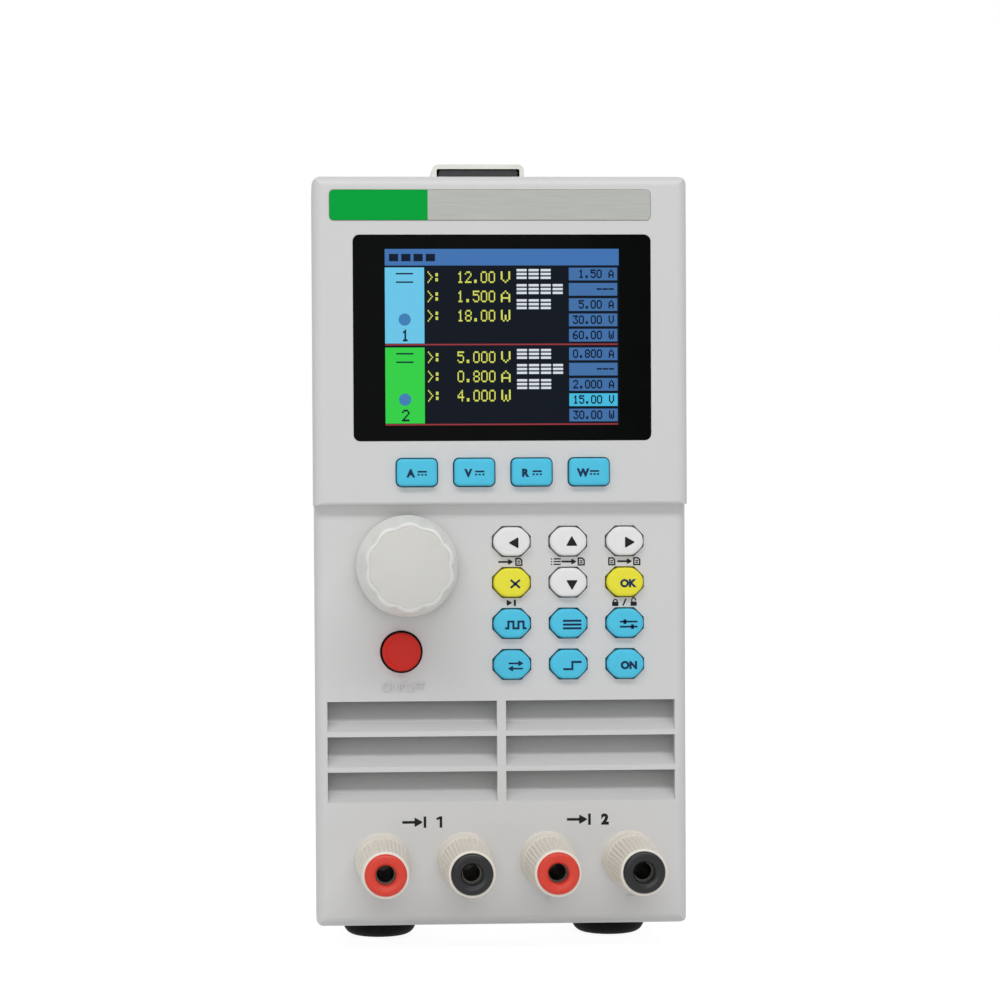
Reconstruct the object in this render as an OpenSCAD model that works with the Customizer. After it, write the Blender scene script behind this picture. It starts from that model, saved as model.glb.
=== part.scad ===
// Two-channel DC electronic load, a tall and narrow bench instrument: a moulded front bezel with
// louvres, keys, an encoder knob and four binding posts, a sheet metal case with a fan at the
// back, four rubber feet and a strap handle.
// +Z is up, the front faces -Y, and X runs to the right of someone who faces the front.
// The origin lies on the floor, below the middle of the whole part.

/* [Case] */
// Width of the front bezel
bezel_w = 89; // [88:0.5:96]
// Height of the front bezel
bezel_h = 178; // [177:0.5:190]
// Front of the upper panel to the outside of the rear panel
case_depth = 270; // [260:1:300]
// How far the sheet metal case lies inside the bezel's outline
case_inset = 1.5; // [1.3:0.1:1.7]
// Thickness of the cover and chassis sheet
sheet_t = 1; // [0.8:0.1:1.2]
// Thickness of the rear panel
rear_t = 1.2; // [1:0.1:2]
// Outer bend radius of the cover
bend_r = 2; // [1.5:0.1:3]
// Height of the chassis side flanges
flange_h = 14; // [12:0.5:18]
// Height of the bent lips behind the rear panel
lip_h = 8; // [7:0.5:8.5]

/* [Front bezel] */
// Depth of the bezel
bezel_depth = 20; // [19:0.5:24]
// Thickness of the moulded panel
wall = 2.5; // [2:0.1:2.8]
// Radius of the bezel's front edges
edge_r = 2.4; // [1:0.1:2.8]
// Radius of the bezel's corners, seen from the front
corner_r = 2.4; // [1.5:0.1:3.5]
// How far the upper panel stands in front of the lower one
step_depth = 2.5; // [1.5:0.1:3]
// How much narrower the lower panel is, on each side
lower_inset = 0.2; // [0:0.1:0.6]
// Radius of the upper panel's lower edge
step_r = 0.8; // [0.3:0.1:1.2]
// Depth of the rebate that takes the front edge of the case
rebate_depth = 4; // [3:0.5:6]

/* [Louvres] */
// Distance from one opening to the next
vent_pitch = 8.4; // [8:0.1:8.6]
// Height of an opening
vent_open = 7.2; // [6.6:0.1:7.4]
// Gap between the openings and the bezel's inner side walls
vent_edge = 0.55; // [0.3:0.05:4]
// Least height from the top opening to the middle of the power button
vent_clear = 11; // [9:0.5:14]
// Width of the bar between the two columns
mullion_w = 2.1; // [1.5:0.1:3]
// Bottom of the lowest opening above the bezel's bottom edge
vent_v = 29.6; // [28:0.1:30]
// Depth of the sloping sill
sill_depth = 3.4; // [3:0.1:3.6]
// Height of the sloping sill
sill_h = 2; // [1.8:0.1:2.4]
// Depth of a whole louvre blade
blade_depth = 7.6; // [7:0.1:9]
// Height that a blade rises to at its back
blade_h = 7.4; // [7:0.1:7.8]
// Thickness of a blade's back edge
blade_t = 1.4; // [1:0.1:1.8]

/* [Display] */
// Width of the display window
window_w = 70.7; // [68:0.1:73]
// Height of the display window
window_h = 48.8; // [46:0.1:49.5]
// Corner radius of the window
window_r = 1.6; // [1:0.1:4]
// Sideways place of the window
window_u = 0.45; // [-0.5:0.05:1]
// Gap between the nameplate and the window
window_gap = 3.4; // [2.5:0.1:4]
// Thickness of the window
lens_t = 1.5; // [1:0.1:1.6]
// How far the window lies behind the panel's face
lens_set = 0.3; // [0.1:0.1:0.4]
// Width of the ledge that carries the window
ledge = 2; // [1.5:0.1:4]
// Width of the display module
lcd_w = 69.2; // [64:0.1:72]
// Height of the display module
lcd_h = 50; // [46:0.1:50.5]
// Thickness of the display module
lcd_t = 3.9; // [3:0.1:6]
// Radius of the display module's legs
leg_r = 1.5; // [1:0.1:2]

/* [Nameplate] */
// Left end of the nameplate from the bezel's left side
plate_left = 4.2; // [3.5:0.1:12]
// Right end of the nameplate from the bezel's right side
plate_right = 8.8; // [3.5:0.1:16]
// Height of the nameplate
plate_h = 7.1; // [5:0.1:7.5]
// Thickness of the nameplate
plate_t = 0.6; // [0.5:0.1:1]
// Depth of the recess that it lies in
plate_sink = 0.4; // [0.2:0.1:0.5]
// Middle of the nameplate below the bezel's top edge
plate_drop = 6.95; // [6.5:0.05:8]
// Corner radius of the nameplate
plate_r = 1; // [0.5:0.1:2]

/* [Keys] */
// Width of a soft key below the display
soft_w = 9.5; // [8:0.1:11]
// Height of a soft key
soft_h = 6.4; // [5:0.1:7.4]
// Corner radius of a soft key
soft_r = 1.2; // [0.8:0.1:2]
// Distance between soft keys
soft_pitch = 13.6; // [13:0.1:15]
// Middle of the row of soft keys
soft_u = 0.4; // [-1:0.1:1]
// Gap between the window and the soft keys
soft_gap = 4.2; // [3:0.1:5]
// Gap between the soft keys and the step
soft_below = 4.5; // [3.5:0.1:6]
// Width of a keypad key
pad_w = 8.7; // [8:0.1:9.6]
// Height of a keypad key
pad_h = 6.8; // [6:0.1:7.4]
// Cut at the corners of a keypad key
pad_cut = 2.2; // [1:0.1:2.8]
// Distance between the keypad's columns
pad_pitch_x = 13.5; // [12.5:0.1:14]
// Distance between the keypad's rows
pad_pitch_z = 9.75; // [9.4:0.05:10]
// Middle column of the keypad
pad_u = 16; // [15:0.1:16.5]
// Middle of the first row below the step
pad_drop = 8.75; // [8:0.05:9.2]
// How far a key stands out of its panel
key_proud = 1.6; // [1:0.1:3]
// Bevel round a key's face
key_bevel = 0.5; // [0.2:0.1:0.8]
// Gap round a key
key_gap = 0.3; // [0.15:0.05:0.4]
// Lip round a key behind the panel
key_lip = 0.7; // [0.5:0.1:0.9]
// Thickness of that lip
key_lip_t = 1; // [0.6:0.1:1.5]
// How far a key goes in
key_travel = 0.6; // [0.3:0.1:0.8]
// Radius of a key's stem
stem_r = 1.7; // [1.2:0.1:2]

/* [Control board] */
// Depth of the control board's front face
board_d = 16; // [15:0.1:18]
// Thickness of the circuit boards
board_t = 1.6; // [1:0.1:2.4]
// Gap between the control board and the bezel's side walls
board_gap = 1.5; // [1.3:0.1:2.5]
// Lower edge of the control board below the power switch
board_edge = 2.4; // [2:0.1:4]
// Top of the control board below the bezel's top edge
board_drop = 6; // [4:0.5:6]
// Radius of the bosses that carry the control board
boss_r = 2.7; // [2.4:0.1:3]
// Bosses' distance from the board's side edges
boss_edge_u = 2.5; // [2.3:0.1:2.6]
// Bosses' distance from the board's top and bottom edges
boss_edge_v = 3.5; // [3:0.1:4]
// Width of a tact switch
switch_w = 6; // [5:0.1:7]
// Height of a tact switch
switch_h = 3.5; // [3:0.1:4.5]

/* [Knob and encoder] */
// Diameter of the knob's skirt
knob_d = 24.1; // [22:0.1:26]
// Diameter of the knob's face
knob_face_d = 21; // [17:0.1:21.5]
// Reach of the knob in front of the lower panel
knob_h = 18; // [14:0.5:22]
// Gap between the knob and the panel
knob_lift = 1; // [0.8:0.1:1.5]
// Height of the knob's plain skirt
skirt_h = 2.6; // [2:0.1:4]
// Radius of the edge round the knob's face
knob_edge_r = 1.2; // [0.8:0.1:2.5]
// Number of flutes
knob_flutes = 10; // [6:1:14]
// Radius of a flute
flute_r = 5; // [3:0.1:8]
// Depth of a flute at the knob's face
flute_depth = 0.8; // [0.5:0.1:1.2]
// Thickness of the knob's face over the shaft
knob_face_t = 4; // [2.5:0.1:6]
// Sideways place of the knob
knob_u = -22.4; // [-24:0.1:-20]
// Middle of the knob below the step
knob_drop = 14.4; // [14:0.1:15]
// How far the knob goes in
knob_push = 0.5; // [0.3:0.1:0.6]
// Radius of the encoder's shaft
shaft_r = 3; // [2.5:0.1:3.2]
// Wall of the encoder's bushing
bush_wall = 0.8; // [0.6:0.1:1.2]
// How far the bushing reaches through the panel
bush_out = 1.5; // [1:0.1:2]
// Width of the encoder's body
encoder_w = 12; // [11.5:0.1:14]
// Depth of the encoder's body
encoder_h = 6.5; // [6.3:0.1:8]
// Gap between the encoder's rotor and its chamber
rotor_gap = 0.4; // [0.2:0.1:1.2]
// Thickness of the encoder's rotor
rotor_t = 2; // [1.4:0.1:2.2]

/* [Power button] */
// Diameter of the power button
power_d = 9.1; // [8:0.1:10]
// Gap round the power button
power_gap = 0.55; // [0.3:0.05:0.8]
// How far the latched button stands out of the panel
power_proud = 2; // [0.8:0.1:2.4]
// How far the button comes out when it is released
power_out = 1.8; // [1:0.1:2.2]
// How far the button goes past its latched place
power_in = 0.7; // [0.4:0.1:0.8]
// Radius of the button's stem
power_stem_r = 2; // [1.5:0.1:3]
// Sideways place of the power button
power_u = -23.8; // [-25:0.1:-22]
// Middle of the power button below the knob's middle
power_drop = 20.4; // [19.5:0.1:21]
// Width of the power switch
power_switch_w = 14; // [10:0.1:15]
// Depth of the power switch
power_switch_h = 7; // [6.5:0.1:7.5]

/* [Binding posts] */
// Distance between posts
post_pitch = 19.7; // [19:0.1:20.5]
// Middle of the row of posts
post_u = 0.9; // [-1:0.1:1]
// Height of the posts above the bezel's bottom edge
post_v = 15.9; // [15:0.1:17.5]
// Reach of a post in front of the lower panel
post_len = 28; // [26:0.5:32]
// Diameter of the smooth insulating base
base_d = 13; // [12:0.1:15]
// Height of the insulating base
base_h = 8; // [6:0.1:10]
// Diameter of the nut at its base
nut_d = 12.6; // [12:0.1:13]
// Wall of the nut round the coloured ring, below the ridges
nut_lip = 0.275; // [0.2:0.025:0.6]
// Number of ridges on a nut
nut_ridges = 36; // [24:1:44]
// Depth of a ridge
ridge_depth = 0.35; // [0.2:0.05:0.4]
// How far the nut's tip lies behind the ring's face
nut_set = 0.8; // [0.4:0.1:1.2]
// Diameter of the coloured ring
ring_d = 9.75; // [9:0.05:9.8]
// Length of the coloured ring
ring_h = 3.85; // [3:0.05:5]
// Radius of the ring's front edge
ring_edge_r = 0.7; // [0.3:0.1:1]
// Radius of the ring's hole
ring_bore_r = 2.35; // [2.2:0.05:2.6]
// Radius of a stud
stud_r = 3; // [2.8:0.1:3.3]
// Radius of the plug socket in a stud
socket_r = 2; // [1.9:0.05:2.1]
// Depth of the plug socket
socket_depth = 20; // [15:0.5:22]
// How far a stud reaches behind the lower panel
stud_back = 9; // [6:0.5:10]
// Thickness of the washer under a nut
washer_t = 0.8; // [0.5:0.1:1.2]
// Radius of the washer
washer_r = 4.6; // [4:0.1:4.8]
// Thickness of the nut behind the panel
rear_nut_t = 3; // [2:0.1:4]
// Radius of that nut over its corners
rear_nut_r = 5.2; // [4.5:0.1:6]

/* [Feet] */
// Radius of a foot
foot_r = 9; // [8:0.5:12]
// Height of a foot
foot_h = 7.5; // [7:0.5:14]
// Radius of the foot's lower edge
foot_edge_r = 3; // [2:0.5:6]
// Radius of the plug that holds a foot
foot_plug_r = 3; // [2:0.1:4]
// Distance between the left and right feet
foot_pitch = 57; // [50:0.5:62]
// Middle of the front feet behind the upper panel
foot_front = 31; // [30:0.5:50]
// Middle of the rear feet before the rear panel
foot_rear = 20; // [14:0.5:40]

/* [Handle] */
// Width of a handle cap
cap_w = 24.4; // [20:0.1:30]
// Height of a handle cap
cap_h = 14.2; // [10:0.1:15]
// Length of a handle cap
cap_l = 25; // [20:0.5:35]
// Thickness of a handle cap
cap_wall = 1.2; // [0.8:0.1:1.4]
// Radius of a handle cap's long edges
cap_r = 1.6; // [1.5:0.1:4]
// Front of the front cap behind the upper panel
cap_front = 75; // [60:1:90]
// Length over both caps
handle_l = 160; // [150:1:175]
// Thickness of the strap
strap_t = 3.5; // [2.5:0.1:4]
// Gap below the strap
strap_gap = 3.5; // [3:0.1:4]
// Length of the middle of the strap, which is lifted
grip_l = 70; // [50:1:80]

/* [Fan] */
// Gap between the fan's frame and the cover's inside
fan_side = 1.9; // [1.5:0.1:6]
// Depth of the fan
fan_t = 25; // [24:0.5:30]
// Gap between the fan's frame and the chassis lip below it
fan_lift = 1; // [0.5:0.1:6]
// Fan's screws from the sides of its frame
fan_screw_edge = 4.25; // [4:0.05:6]
// Wall of the fan's duct at its thinnest
duct_wall = 1.8; // [1.5:0.1:2.5]
// Gap between the blades' tips and the duct
tip_gap = 1.5; // [1:0.1:3]
// Radius of the fan's hub
hub_r = 17; // [14:0.5:20]
// Number of fan blades
fan_blades = 7; // [5:1:9]
// Twist of a fan blade in degrees
blade_twist = 32; // [20:1:36]
// Radius of the fan's pin
pin_r = 1.5; // [1:0.1:2]
// Radius of the guard's wire
wire_r = 0.9; // [0.7:0.1:1.2]
// Number of the guard's rings
guard_rings = 4; // [3:1:5]

/* [Power section] */
// Front of the heat sinks behind the upper panel
sink_front = 42; // [38:1:60]
// Height of the heat sinks
sink_h = 84; // [70:1:90]
// Gap between the heat sinks and the chassis flanges
sink_side = 2.6; // [1.5:0.1:8]
// Thickness of a heat sink's base
sink_base = 6; // [4:0.5:10]
// Thickness of a fin
fin_t = 1.6; // [1:0.1:2.5]
// Number of fins
fins = 7; // [5:1:9]
// Gap between the heat sinks and the fan
sink_gap = 8; // [4:1:20]
// Transistors on each heat sink
transistors = 3; // [2:1:4]
// Distance from the heat sinks to the power board
board_lift = 12; // [10:0.5:16]
// Radius of the power board's posts
standoff_r = 3; // [2.5:0.1:4]
// Width of the transformer's core
core_w = 50; // [40:1:56]
// Depth of the transformer's core
core_l = 30; // [20:1:40]
// Height of the transformer
core_h = 42; // [30:1:46]

/* [Rear connectors] */
// Middle of the mains inlet below the case's top
inlet_drop = 29; // [24:0.5:32]
// Depth of the mains inlet's socket
inlet_depth = 16; // [14:0.5:18]
// Thickness of the mains inlet's flange
inlet_flange_t = 2.5; // [2:0.1:3.5]
// Middle of the serial port below the middle of the mains inlet
port_drop = 32; // [26:0.5:35]
// How far the serial port's shell stands out
port_proud = 5.8; // [4:0.1:6.5]

/* [Screws] */
// Radius of a screw's thread
screw_r = 1.5; // [1.2:0.1:1.6]
// Radius of a screw's head
head_r = 2.7; // [2.4:0.1:3]
// Height of a screw's head
head_h = 1.4; // [1.2:0.1:1.5]
// Length of a screw
screw_l = 7; // [5:0.5:8]

/* [Hidden] */
$fn = 32;
// Clearances: between still pieces, round screws, stems and shafts, and behind the key lips
fit = 0.1;
screw_fit = 0.05;
stem_fit = 0.1;
shaft_fit = 0.06;
key_slack = 0.1;
nut_gap = 0.15;
// How far a cutting shape reaches past a face, and a joined shape into its neighbour
cut = 1;
bite = 0.3;
skin = 0.01;

// Depths behind the upper panel, and heights above the bezel's bottom edge
panel_d = step_depth;
inner_d = step_depth + wall;
case_d = bezel_depth - rebate_depth + fit;
rear_d = case_depth - rear_t;
top_v = bezel_h - case_inset;
plate_v = bezel_h - plate_drop;
window_v = plate_v - plate_h / 2 - window_gap - window_h / 2;
soft_v = window_v - window_h / 2 - soft_gap - soft_h / 2;
step_v = soft_v - soft_h / 2 - soft_below;
upper_h = bezel_h - step_v;
knob_v = step_v - knob_drop;
power_v = knob_v - power_drop;
plate_w = bezel_w - plate_left - plate_right;
plate_u = (plate_left - plate_right) / 2;

// Sizes and heights of the case
case_w = bezel_w - 2 * case_inset;
case_h = bezel_h - 2 * case_inset;
cavity_w = bezel_w - 2 * wall;
chassis_w = case_w - 2 * sheet_t - 2 * fit;
bezel_z = foot_h - case_inset;
floor_z = foot_h + sheet_t;
flange_d = board_d + board_t + 2 * key_bevel + 3 * sheet_t;
side_screw_z = foot_h + flange_h / 2 + sheet_t;
side_screw_l = 3 * sheet_t;
side_screw_d = [cap_front - cap_l, case_depth / 2, rear_d - fan_t - sink_gap];
lip_screw_x = case_w / 2 - 2 * lip_h;
lip_screw_h = sheet_t + lip_h / 2;

// Keys, in reading order, and their places
soft_names = [for (i = [1:4]) str("soft_key_", i)];
pad_names = [
    "key_left", "key_up", "key_right",
    "key_cancel", "key_down", "key_confirm",
    "key_mode", "key_menu", "key_setup",
    "key_channel", "key_trigger", "key_load_on"
];
pad_colors = [
    "#dedede", "#dedede", "#dedede",
    "#e3dd42", "#dedede", "#e3dd42",
    "#41b8d9", "#41b8d9", "#41b8d9",
    "#41b8d9", "#41b8d9", "#41b8d9"
];
function soft_place(i) = [soft_u + (i - 1.5) * soft_pitch, soft_v];
function pad_place(i) = [pad_u + (i % 3 - 1) * pad_pitch_x, step_v - pad_drop - floor(i / 3) * pad_pitch_z];
key_places = concat([for (i = [0:3]) soft_place(i)], [for (i = [0:11]) pad_place(i)]);
stem_end = board_d - key_travel - 4 * key_slack;
miter = 2 - sqrt(2);

// Control board
board_w = cavity_w - 2 * board_gap;
board_v = power_v - power_switch_w / 2 - board_edge;
board_h = bezel_h - board_drop - board_v;
boss_u = board_w / 2 - boss_edge_u;
boss_low_v = board_v + boss_edge_v;
boss_high_v = bezel_h - board_drop - boss_edge_v;

// Encoder: a rotor in a chamber behind the bushing
encoder_d = board_d - encoder_h;
chamber_wall = 1;
chamber_d = encoder_d + chamber_wall;
chamber_r = encoder_w / 2 - chamber_wall;
rotor_r = chamber_r - rotor_gap;
bush_r = shaft_r + bush_wall;
rotor_d = chamber_d + 0.3 + knob_push + 0.2;
tail_r = shaft_r * 0.7;
tail_flat = tail_r * 0.6;
shaft_front = panel_d - knob_h + knob_face_t;

// Binding posts: heights in front of the lower panel
post_names = [for (i = [1:4]) i];
post_colors = ["#d54e40", "#2f3131", "#d54e40", "#2f3131"];
function post_x(i) = post_u + (i - 1.5) * post_pitch;
nut_tip_d = ring_d + 2 * (nut_lip + ridge_depth);
nut_z = base_h + nut_gap;
nut_top = post_len - nut_set;
ring_z = post_len - ring_h;
stud_top = ring_z - nut_gap;
washer_seat_r = washer_r + bite;

// Vents: as many rows as fit below the power button
vent_w = (cavity_w - mullion_w) / 2 - vent_edge;
vent_bar = vent_pitch - vent_open;
vent_rows = floor((power_v - vent_clear - vent_v + vent_bar) / vent_pitch);
vent_field_h = vent_rows * vent_pitch - vent_bar;

// Handle: depths and heights
handle_mid = cap_front + handle_l / 2;
strap_w = cap_w - 2 * cap_wall - 4 * fit;
grip_d = handle_mid - grip_l / 2;
strap_set = 5 * fit;

// Fan, heat sinks and power board
fan_w = chassis_w - 2 * fan_side;
fan_z = floor_z + lip_h + fan_lift + fan_w / 2;
fan_pitch = fan_w - 2 * fan_screw_edge;
fan_d = rear_d - fan_t;
duct_r = fan_w / 2 - duct_wall;
tip_r = duct_r - tip_gap;
motor_plate_t = 3;
hub_gap = 1;
hub_wall = 2.5;
hub_l = fan_t - motor_plate_t - 2 * hub_gap;
spindle_r = 2.5 * pin_r;
guard_t = 3.4 * wire_r;
eye_t = 2.4 * wire_r;
eye_r = 2.2 * screw_r;
sink_w = chassis_w / 2 - sheet_t - sink_side - bite;
sink_rear = fan_d - sink_gap;
sink_top = floor_z + sink_h;
power_board_z = sink_top + board_lift;
standoff_x = sink_w - 2 * standoff_r;
transistor_size = [16, 21, 5];
core_z = power_board_z + board_t;
core_d = (sink_front + sink_rear) / 2 + core_l;

// Rear connectors
inlet_z = foot_h + case_h - inlet_drop;
inlet_hole = [24.6, 16.6];
inlet_wall = 1.4;
inlet_flange = [48, 25];
inlet_screw_x = 20;
pin_size = [2, 4];
pin_places = [[-7, -2], [0, 2], [7, -2]];
port_z = inlet_z - port_drop;
port_flange = [31, 12.5];
port_flange_t = 1;
port_top_w = 16.9;
port_slant = 1.5;
port_h = 8.3;
port_pin_pitch = 2.7;
port_screw_x = 12.5;

// The whole part's reach, which centres it over the origin
front_reach = max(post_len, knob_h) - step_depth;
rear_reach = case_depth + max(guard_t + head_h, port_flange_t + port_proud, inlet_flange_t + head_h);
y_front = (front_reach - rear_reach) / 2;

// Flat outlines

module rounded_rect(w, h, r) {
    square([w - 2 * r, h], center = true);
    square([w, h - 2 * r], center = true);
    for (x = [-1, 1], y = [-1, 1])
        translate([x * (w / 2 - r), y * (h / 2 - r)]) circle(r);
}

// A rectangle that stands on the x axis, with its two top corners rounded
module arch(w, h, r_left, r_right) {
    translate([-w / 2, 0]) square([w - r_right, h - r_left]);
    translate([-w / 2 + r_left, 0]) square([w - r_left, h - r_right]);
    translate([-w / 2 + r_left, 0]) square([w - r_left - r_right, h]);
    translate([-w / 2 + r_left, h - r_left]) circle(r_left);
    translate([w / 2 - r_right, h - r_right]) circle(r_right);
}

module soft_outline(grow) {
    rounded_rect(soft_w + 2 * grow, soft_h + 2 * grow, soft_r + grow);
}

// A rectangle with cut corners, grown evenly on all its sides
module pad_outline(grow) {
    x = pad_w / 2 + grow;
    y = pad_h / 2 + grow;
    c = pad_cut + miter * grow;
    polygon([
        [x - c, y], [x, y - c], [x, c - y], [x - c, -y],
        [c - x, -y], [-x, c - y], [-x, y - c], [c - x, y]
    ]);
}

// Places: x to the right, y up from the bezel's bottom edge, z out of the panel towards the user

module on_panel(d) {
    translate([0, y_front + d, bezel_z]) rotate([90, 0, 0]) children();
}

// An outline seen from the front, from depth d0 back to depth d1
module slab(d0, d1) {
    on_panel(d1) linear_extrude(d1 - d0) children();
}

// A side profile of depth and height, drawn across the width
module across(x0, x1) {
    translate([x0, y_front, bezel_z]) rotate([90, 0, 90]) linear_extrude(x1 - x0) children();
}

// A place on the back, with z pointing out of the rear panel
module on_rear(x, z, d) {
    translate([x, y_front + d, z]) rotate([-90, 0, 0]) children();
}

module at_bosses() {
    for (u = [-boss_u, boss_u], v = [boss_low_v, boss_high_v])
        translate([u, v]) children();
}

module at_lip_screws() {
    for (x = [-lip_screw_x, lip_screw_x], v = [lip_screw_h, case_h - lip_screw_h])
        translate([x, case_inset + v]) children();
}

module at_fan_screws() {
    for (x = [-fan_pitch / 2, fan_pitch / 2], z = [-fan_pitch / 2, fan_pitch / 2])
        translate([x, fan_z - bezel_z + z]) children();
}

module at_side_screws() {
    for (side = [-1, 1], d = side_screw_d)
        translate([side * case_w / 2, y_front + d, side_screw_z]) rotate([0, side * 90, 0]) children();
}

module at_feet() {
    for (x = [-foot_pitch / 2, foot_pitch / 2], d = [foot_front, case_depth - foot_rear])
        translate([x, y_front + d, 0]) children();
}

// Front bezel

// A block with its front edges rounded, from depth d0 to the bezel's back
module bezel_block(d0, w, v0, v1, r_low, r_high) {
    depth = bezel_depth - d0;
    intersection() {
        translate([0, y_front + bezel_depth, bezel_z + v0])
            linear_extrude(v1 - v0) mirror([0, 1]) arch(w, depth, edge_r, edge_r);
        across(-w / 2 - cut, w / 2 + cut)
            translate([bezel_depth, (v0 + v1) / 2]) rotate(90) arch(v1 - v0, depth, r_low, r_high);
    }
}

module bezel_outer() {
    intersection() {
        slab(-cut, bezel_depth) translate([0, bezel_h / 2]) rounded_rect(bezel_w, bezel_h, corner_r);
        union() {
            bezel_block(0, bezel_w, step_v, bezel_h, step_r, edge_r);
            bezel_block(panel_d, bezel_w - 2 * lower_inset, 0, step_v + wall, edge_r, step_r);
        }
    }
}

module bezel_cavity() {
    upper_cavity_h = upper_h - 2 * wall;
    slab(wall, bezel_depth + cut)
        translate([0, step_v + upper_h / 2]) square([cavity_w, upper_cavity_h], center = true);
    slab(inner_d, bezel_depth + cut)
        translate([0, bezel_h / 2]) square([cavity_w, bezel_h - 2 * wall], center = true);
    slab(bezel_depth - rebate_depth, bezel_depth + cut)
        translate([0, case_inset - fit]) arch(case_w + 2 * fit, case_h + 2 * fit, bend_r, bend_r);
}

module vent_columns() {
    for (side = [-1, 1])
        slab(panel_d - cut, inner_d + cut)
            translate([side * (vent_w + mullion_w) / 2, vent_v + vent_field_h / 2])
                square([vent_w, vent_field_h], center = true);
}

// A sloping sill in front and a thinner blade that rises behind it
module louvre_profile() {
    polygon([
        [0, -vent_bar],
        [0, 0],
        [sill_depth, sill_h],
        [blade_depth, blade_h],
        [blade_depth, blade_h - blade_t],
        [sill_depth, sill_h - blade_t],
        [wall - bite, -vent_bar]
    ]);
}

module louvres() {
    for (i = [0 : vent_rows - 1])
        across(-cavity_w / 2 - bite, cavity_w / 2 + bite)
            translate([panel_d, vent_v + i * vent_pitch]) louvre_profile();
}

module board_bosses() {
    for (u = [-boss_u, boss_u]) {
        slab(inner_d - bite, board_d) translate([u, boss_low_v]) circle(boss_r);
        slab(wall - bite, board_d) translate([u, boss_high_v]) circle(boss_r);
    }
}

module panel_openings() {
    slab(-cut, plate_sink)
        translate([plate_u, plate_v]) rounded_rect(plate_w + 2 * fit, plate_h + 2 * fit, plate_r + fit);
    slab(-cut, lens_set + lens_t)
        translate([window_u, window_v]) rounded_rect(window_w, window_h, window_r);
    slab(-cut, wall + cut)
        translate([window_u, window_v])
            rounded_rect(window_w - 2 * ledge, window_h - 2 * ledge, window_r / 2);
    for (i = [0:3])
        slab(-cut, wall + cut) translate(soft_place(i)) soft_outline(key_gap);
    for (i = [0:11])
        slab(panel_d - cut, inner_d + cut) translate(pad_place(i)) pad_outline(key_gap);
    slab(panel_d - cut, inner_d + cut) {
        translate([knob_u, knob_v]) circle(bush_r + fit);
        translate([power_u, power_v]) circle(power_d / 2 + power_gap);
        for (i = [0:3]) translate([post_x(i), post_v]) circle(stud_r + fit);
    }
    slab(board_d - screw_l, board_d + cut) at_bosses() circle(screw_r + screw_fit);
}

module front_bezel() {
    color("#cacaca") difference() {
        union() {
            difference() {
                bezel_outer();
                bezel_cavity();
                vent_columns();
            }
            louvres();
            board_bosses();
        }
        panel_openings();
    }
}

module nameplate() {
    color("#b5b8b2") slab(plate_sink - plate_t, plate_sink)
        translate([plate_u, plate_v]) rounded_rect(plate_w, plate_h, plate_r);
}

// Display

module screen_window() {
    color("#0e1011") slab(lens_set, lens_set + lens_t)
        translate([window_u, window_v]) rounded_rect(window_w - 2 * fit, window_h - 2 * fit, window_r - fit);
}

module lcd_module() {
    lcd_d = wall + fit;
    leg_u = lcd_w / 2 - 2 * leg_r;
    leg_v = lcd_h / 2 - 2 * leg_r;
    color("#3a3f45") {
        slab(lcd_d, lcd_d + lcd_t) translate([window_u, window_v]) square([lcd_w, lcd_h], center = true);
        slab(lcd_d + lcd_t - bite, board_d)
            for (u = [-leg_u, leg_u], v = [-leg_v, leg_v])
                translate([window_u + u, window_v + v]) circle(leg_r);
    }
}

// Control board and what stands on it

module front_board() {
    color("#1f6b3a") slab(board_d, board_d + board_t)
        difference() {
            translate([0, board_v + board_h / 2]) square([board_w, board_h], center = true);
            at_bosses() circle(screw_r + screw_fit);
        }
}

module tact_switches() {
    color("#2b2b2b") slab(board_d - switch_h, board_d)
        for (place = key_places)
            translate(place) difference() {
                square(switch_w, center = true);
                circle(stem_r + stem_fit);
            }
}

module encoder_body() {
    color("#8d9092") translate([knob_u, 0, knob_v]) difference() {
        union() {
            slab(encoder_d, board_d) square(encoder_w, center = true);
            slab(panel_d - bush_out, encoder_d + bite) circle(bush_r);
        }
        slab(chamber_d, board_d - chamber_wall) circle(chamber_r);
        slab(panel_d - bush_out - cut, chamber_d + bite) circle(shaft_r + shaft_fit);
    }
}

// A round bar with one flat
module keyed_outline(grow) {
    intersection() {
        circle(tail_r + grow);
        translate([-2 * tail_r, -2 * tail_r]) square([4 * tail_r, 2 * tail_r + tail_flat + grow]);
    }
}

module encoder_rotor() {
    color("#d8d2c0") translate([knob_u, 0, knob_v])
        slab(rotor_d, rotor_d + rotor_t) difference() {
            circle(rotor_r);
            keyed_outline(shaft_fit);
        }
}

module encoder_shaft() {
    shoulder_d = chamber_d + bite;
    tail_end = rotor_d + rotor_t + bite;
    color("#b9bcbe") translate([knob_u, 0, knob_v]) {
        slab(shaft_front, shoulder_d) circle(shaft_r);
        slab(shoulder_d - bite, tail_end) keyed_outline(0);
    }
}

// The knob's half section: a plain skirt, a tapered side and a face with a round edge
module knob_profile() {
    r = knob_d / 2;
    f = knob_face_d / 2;
    e = knob_edge_r;
    polygon([
        [0, knob_lift], [r, knob_lift], [r, knob_lift + skirt_h],
        [f, knob_h - e], [f - e, knob_h], [0, knob_h]
    ]);
    translate([f - e, knob_h - e]) circle(e);
}

// Flutes that fade out towards the skirt
module knob_flutes_cut() {
    shallow = 0.15;
    foot = [knob_d / 2 + flute_r - shallow, knob_lift + skirt_h];
    head = [knob_face_d / 2 + flute_r - flute_depth, knob_h];
    lean = atan2(foot.x - head.x, head.y - foot.y);
    for (i = [0 : knob_flutes - 1])
        rotate(i * 360 / knob_flutes) translate([foot.x, 0, foot.y]) rotate([0, -lean, 0])
            cylinder(r = flute_r, h = knob_h);
}

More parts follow.
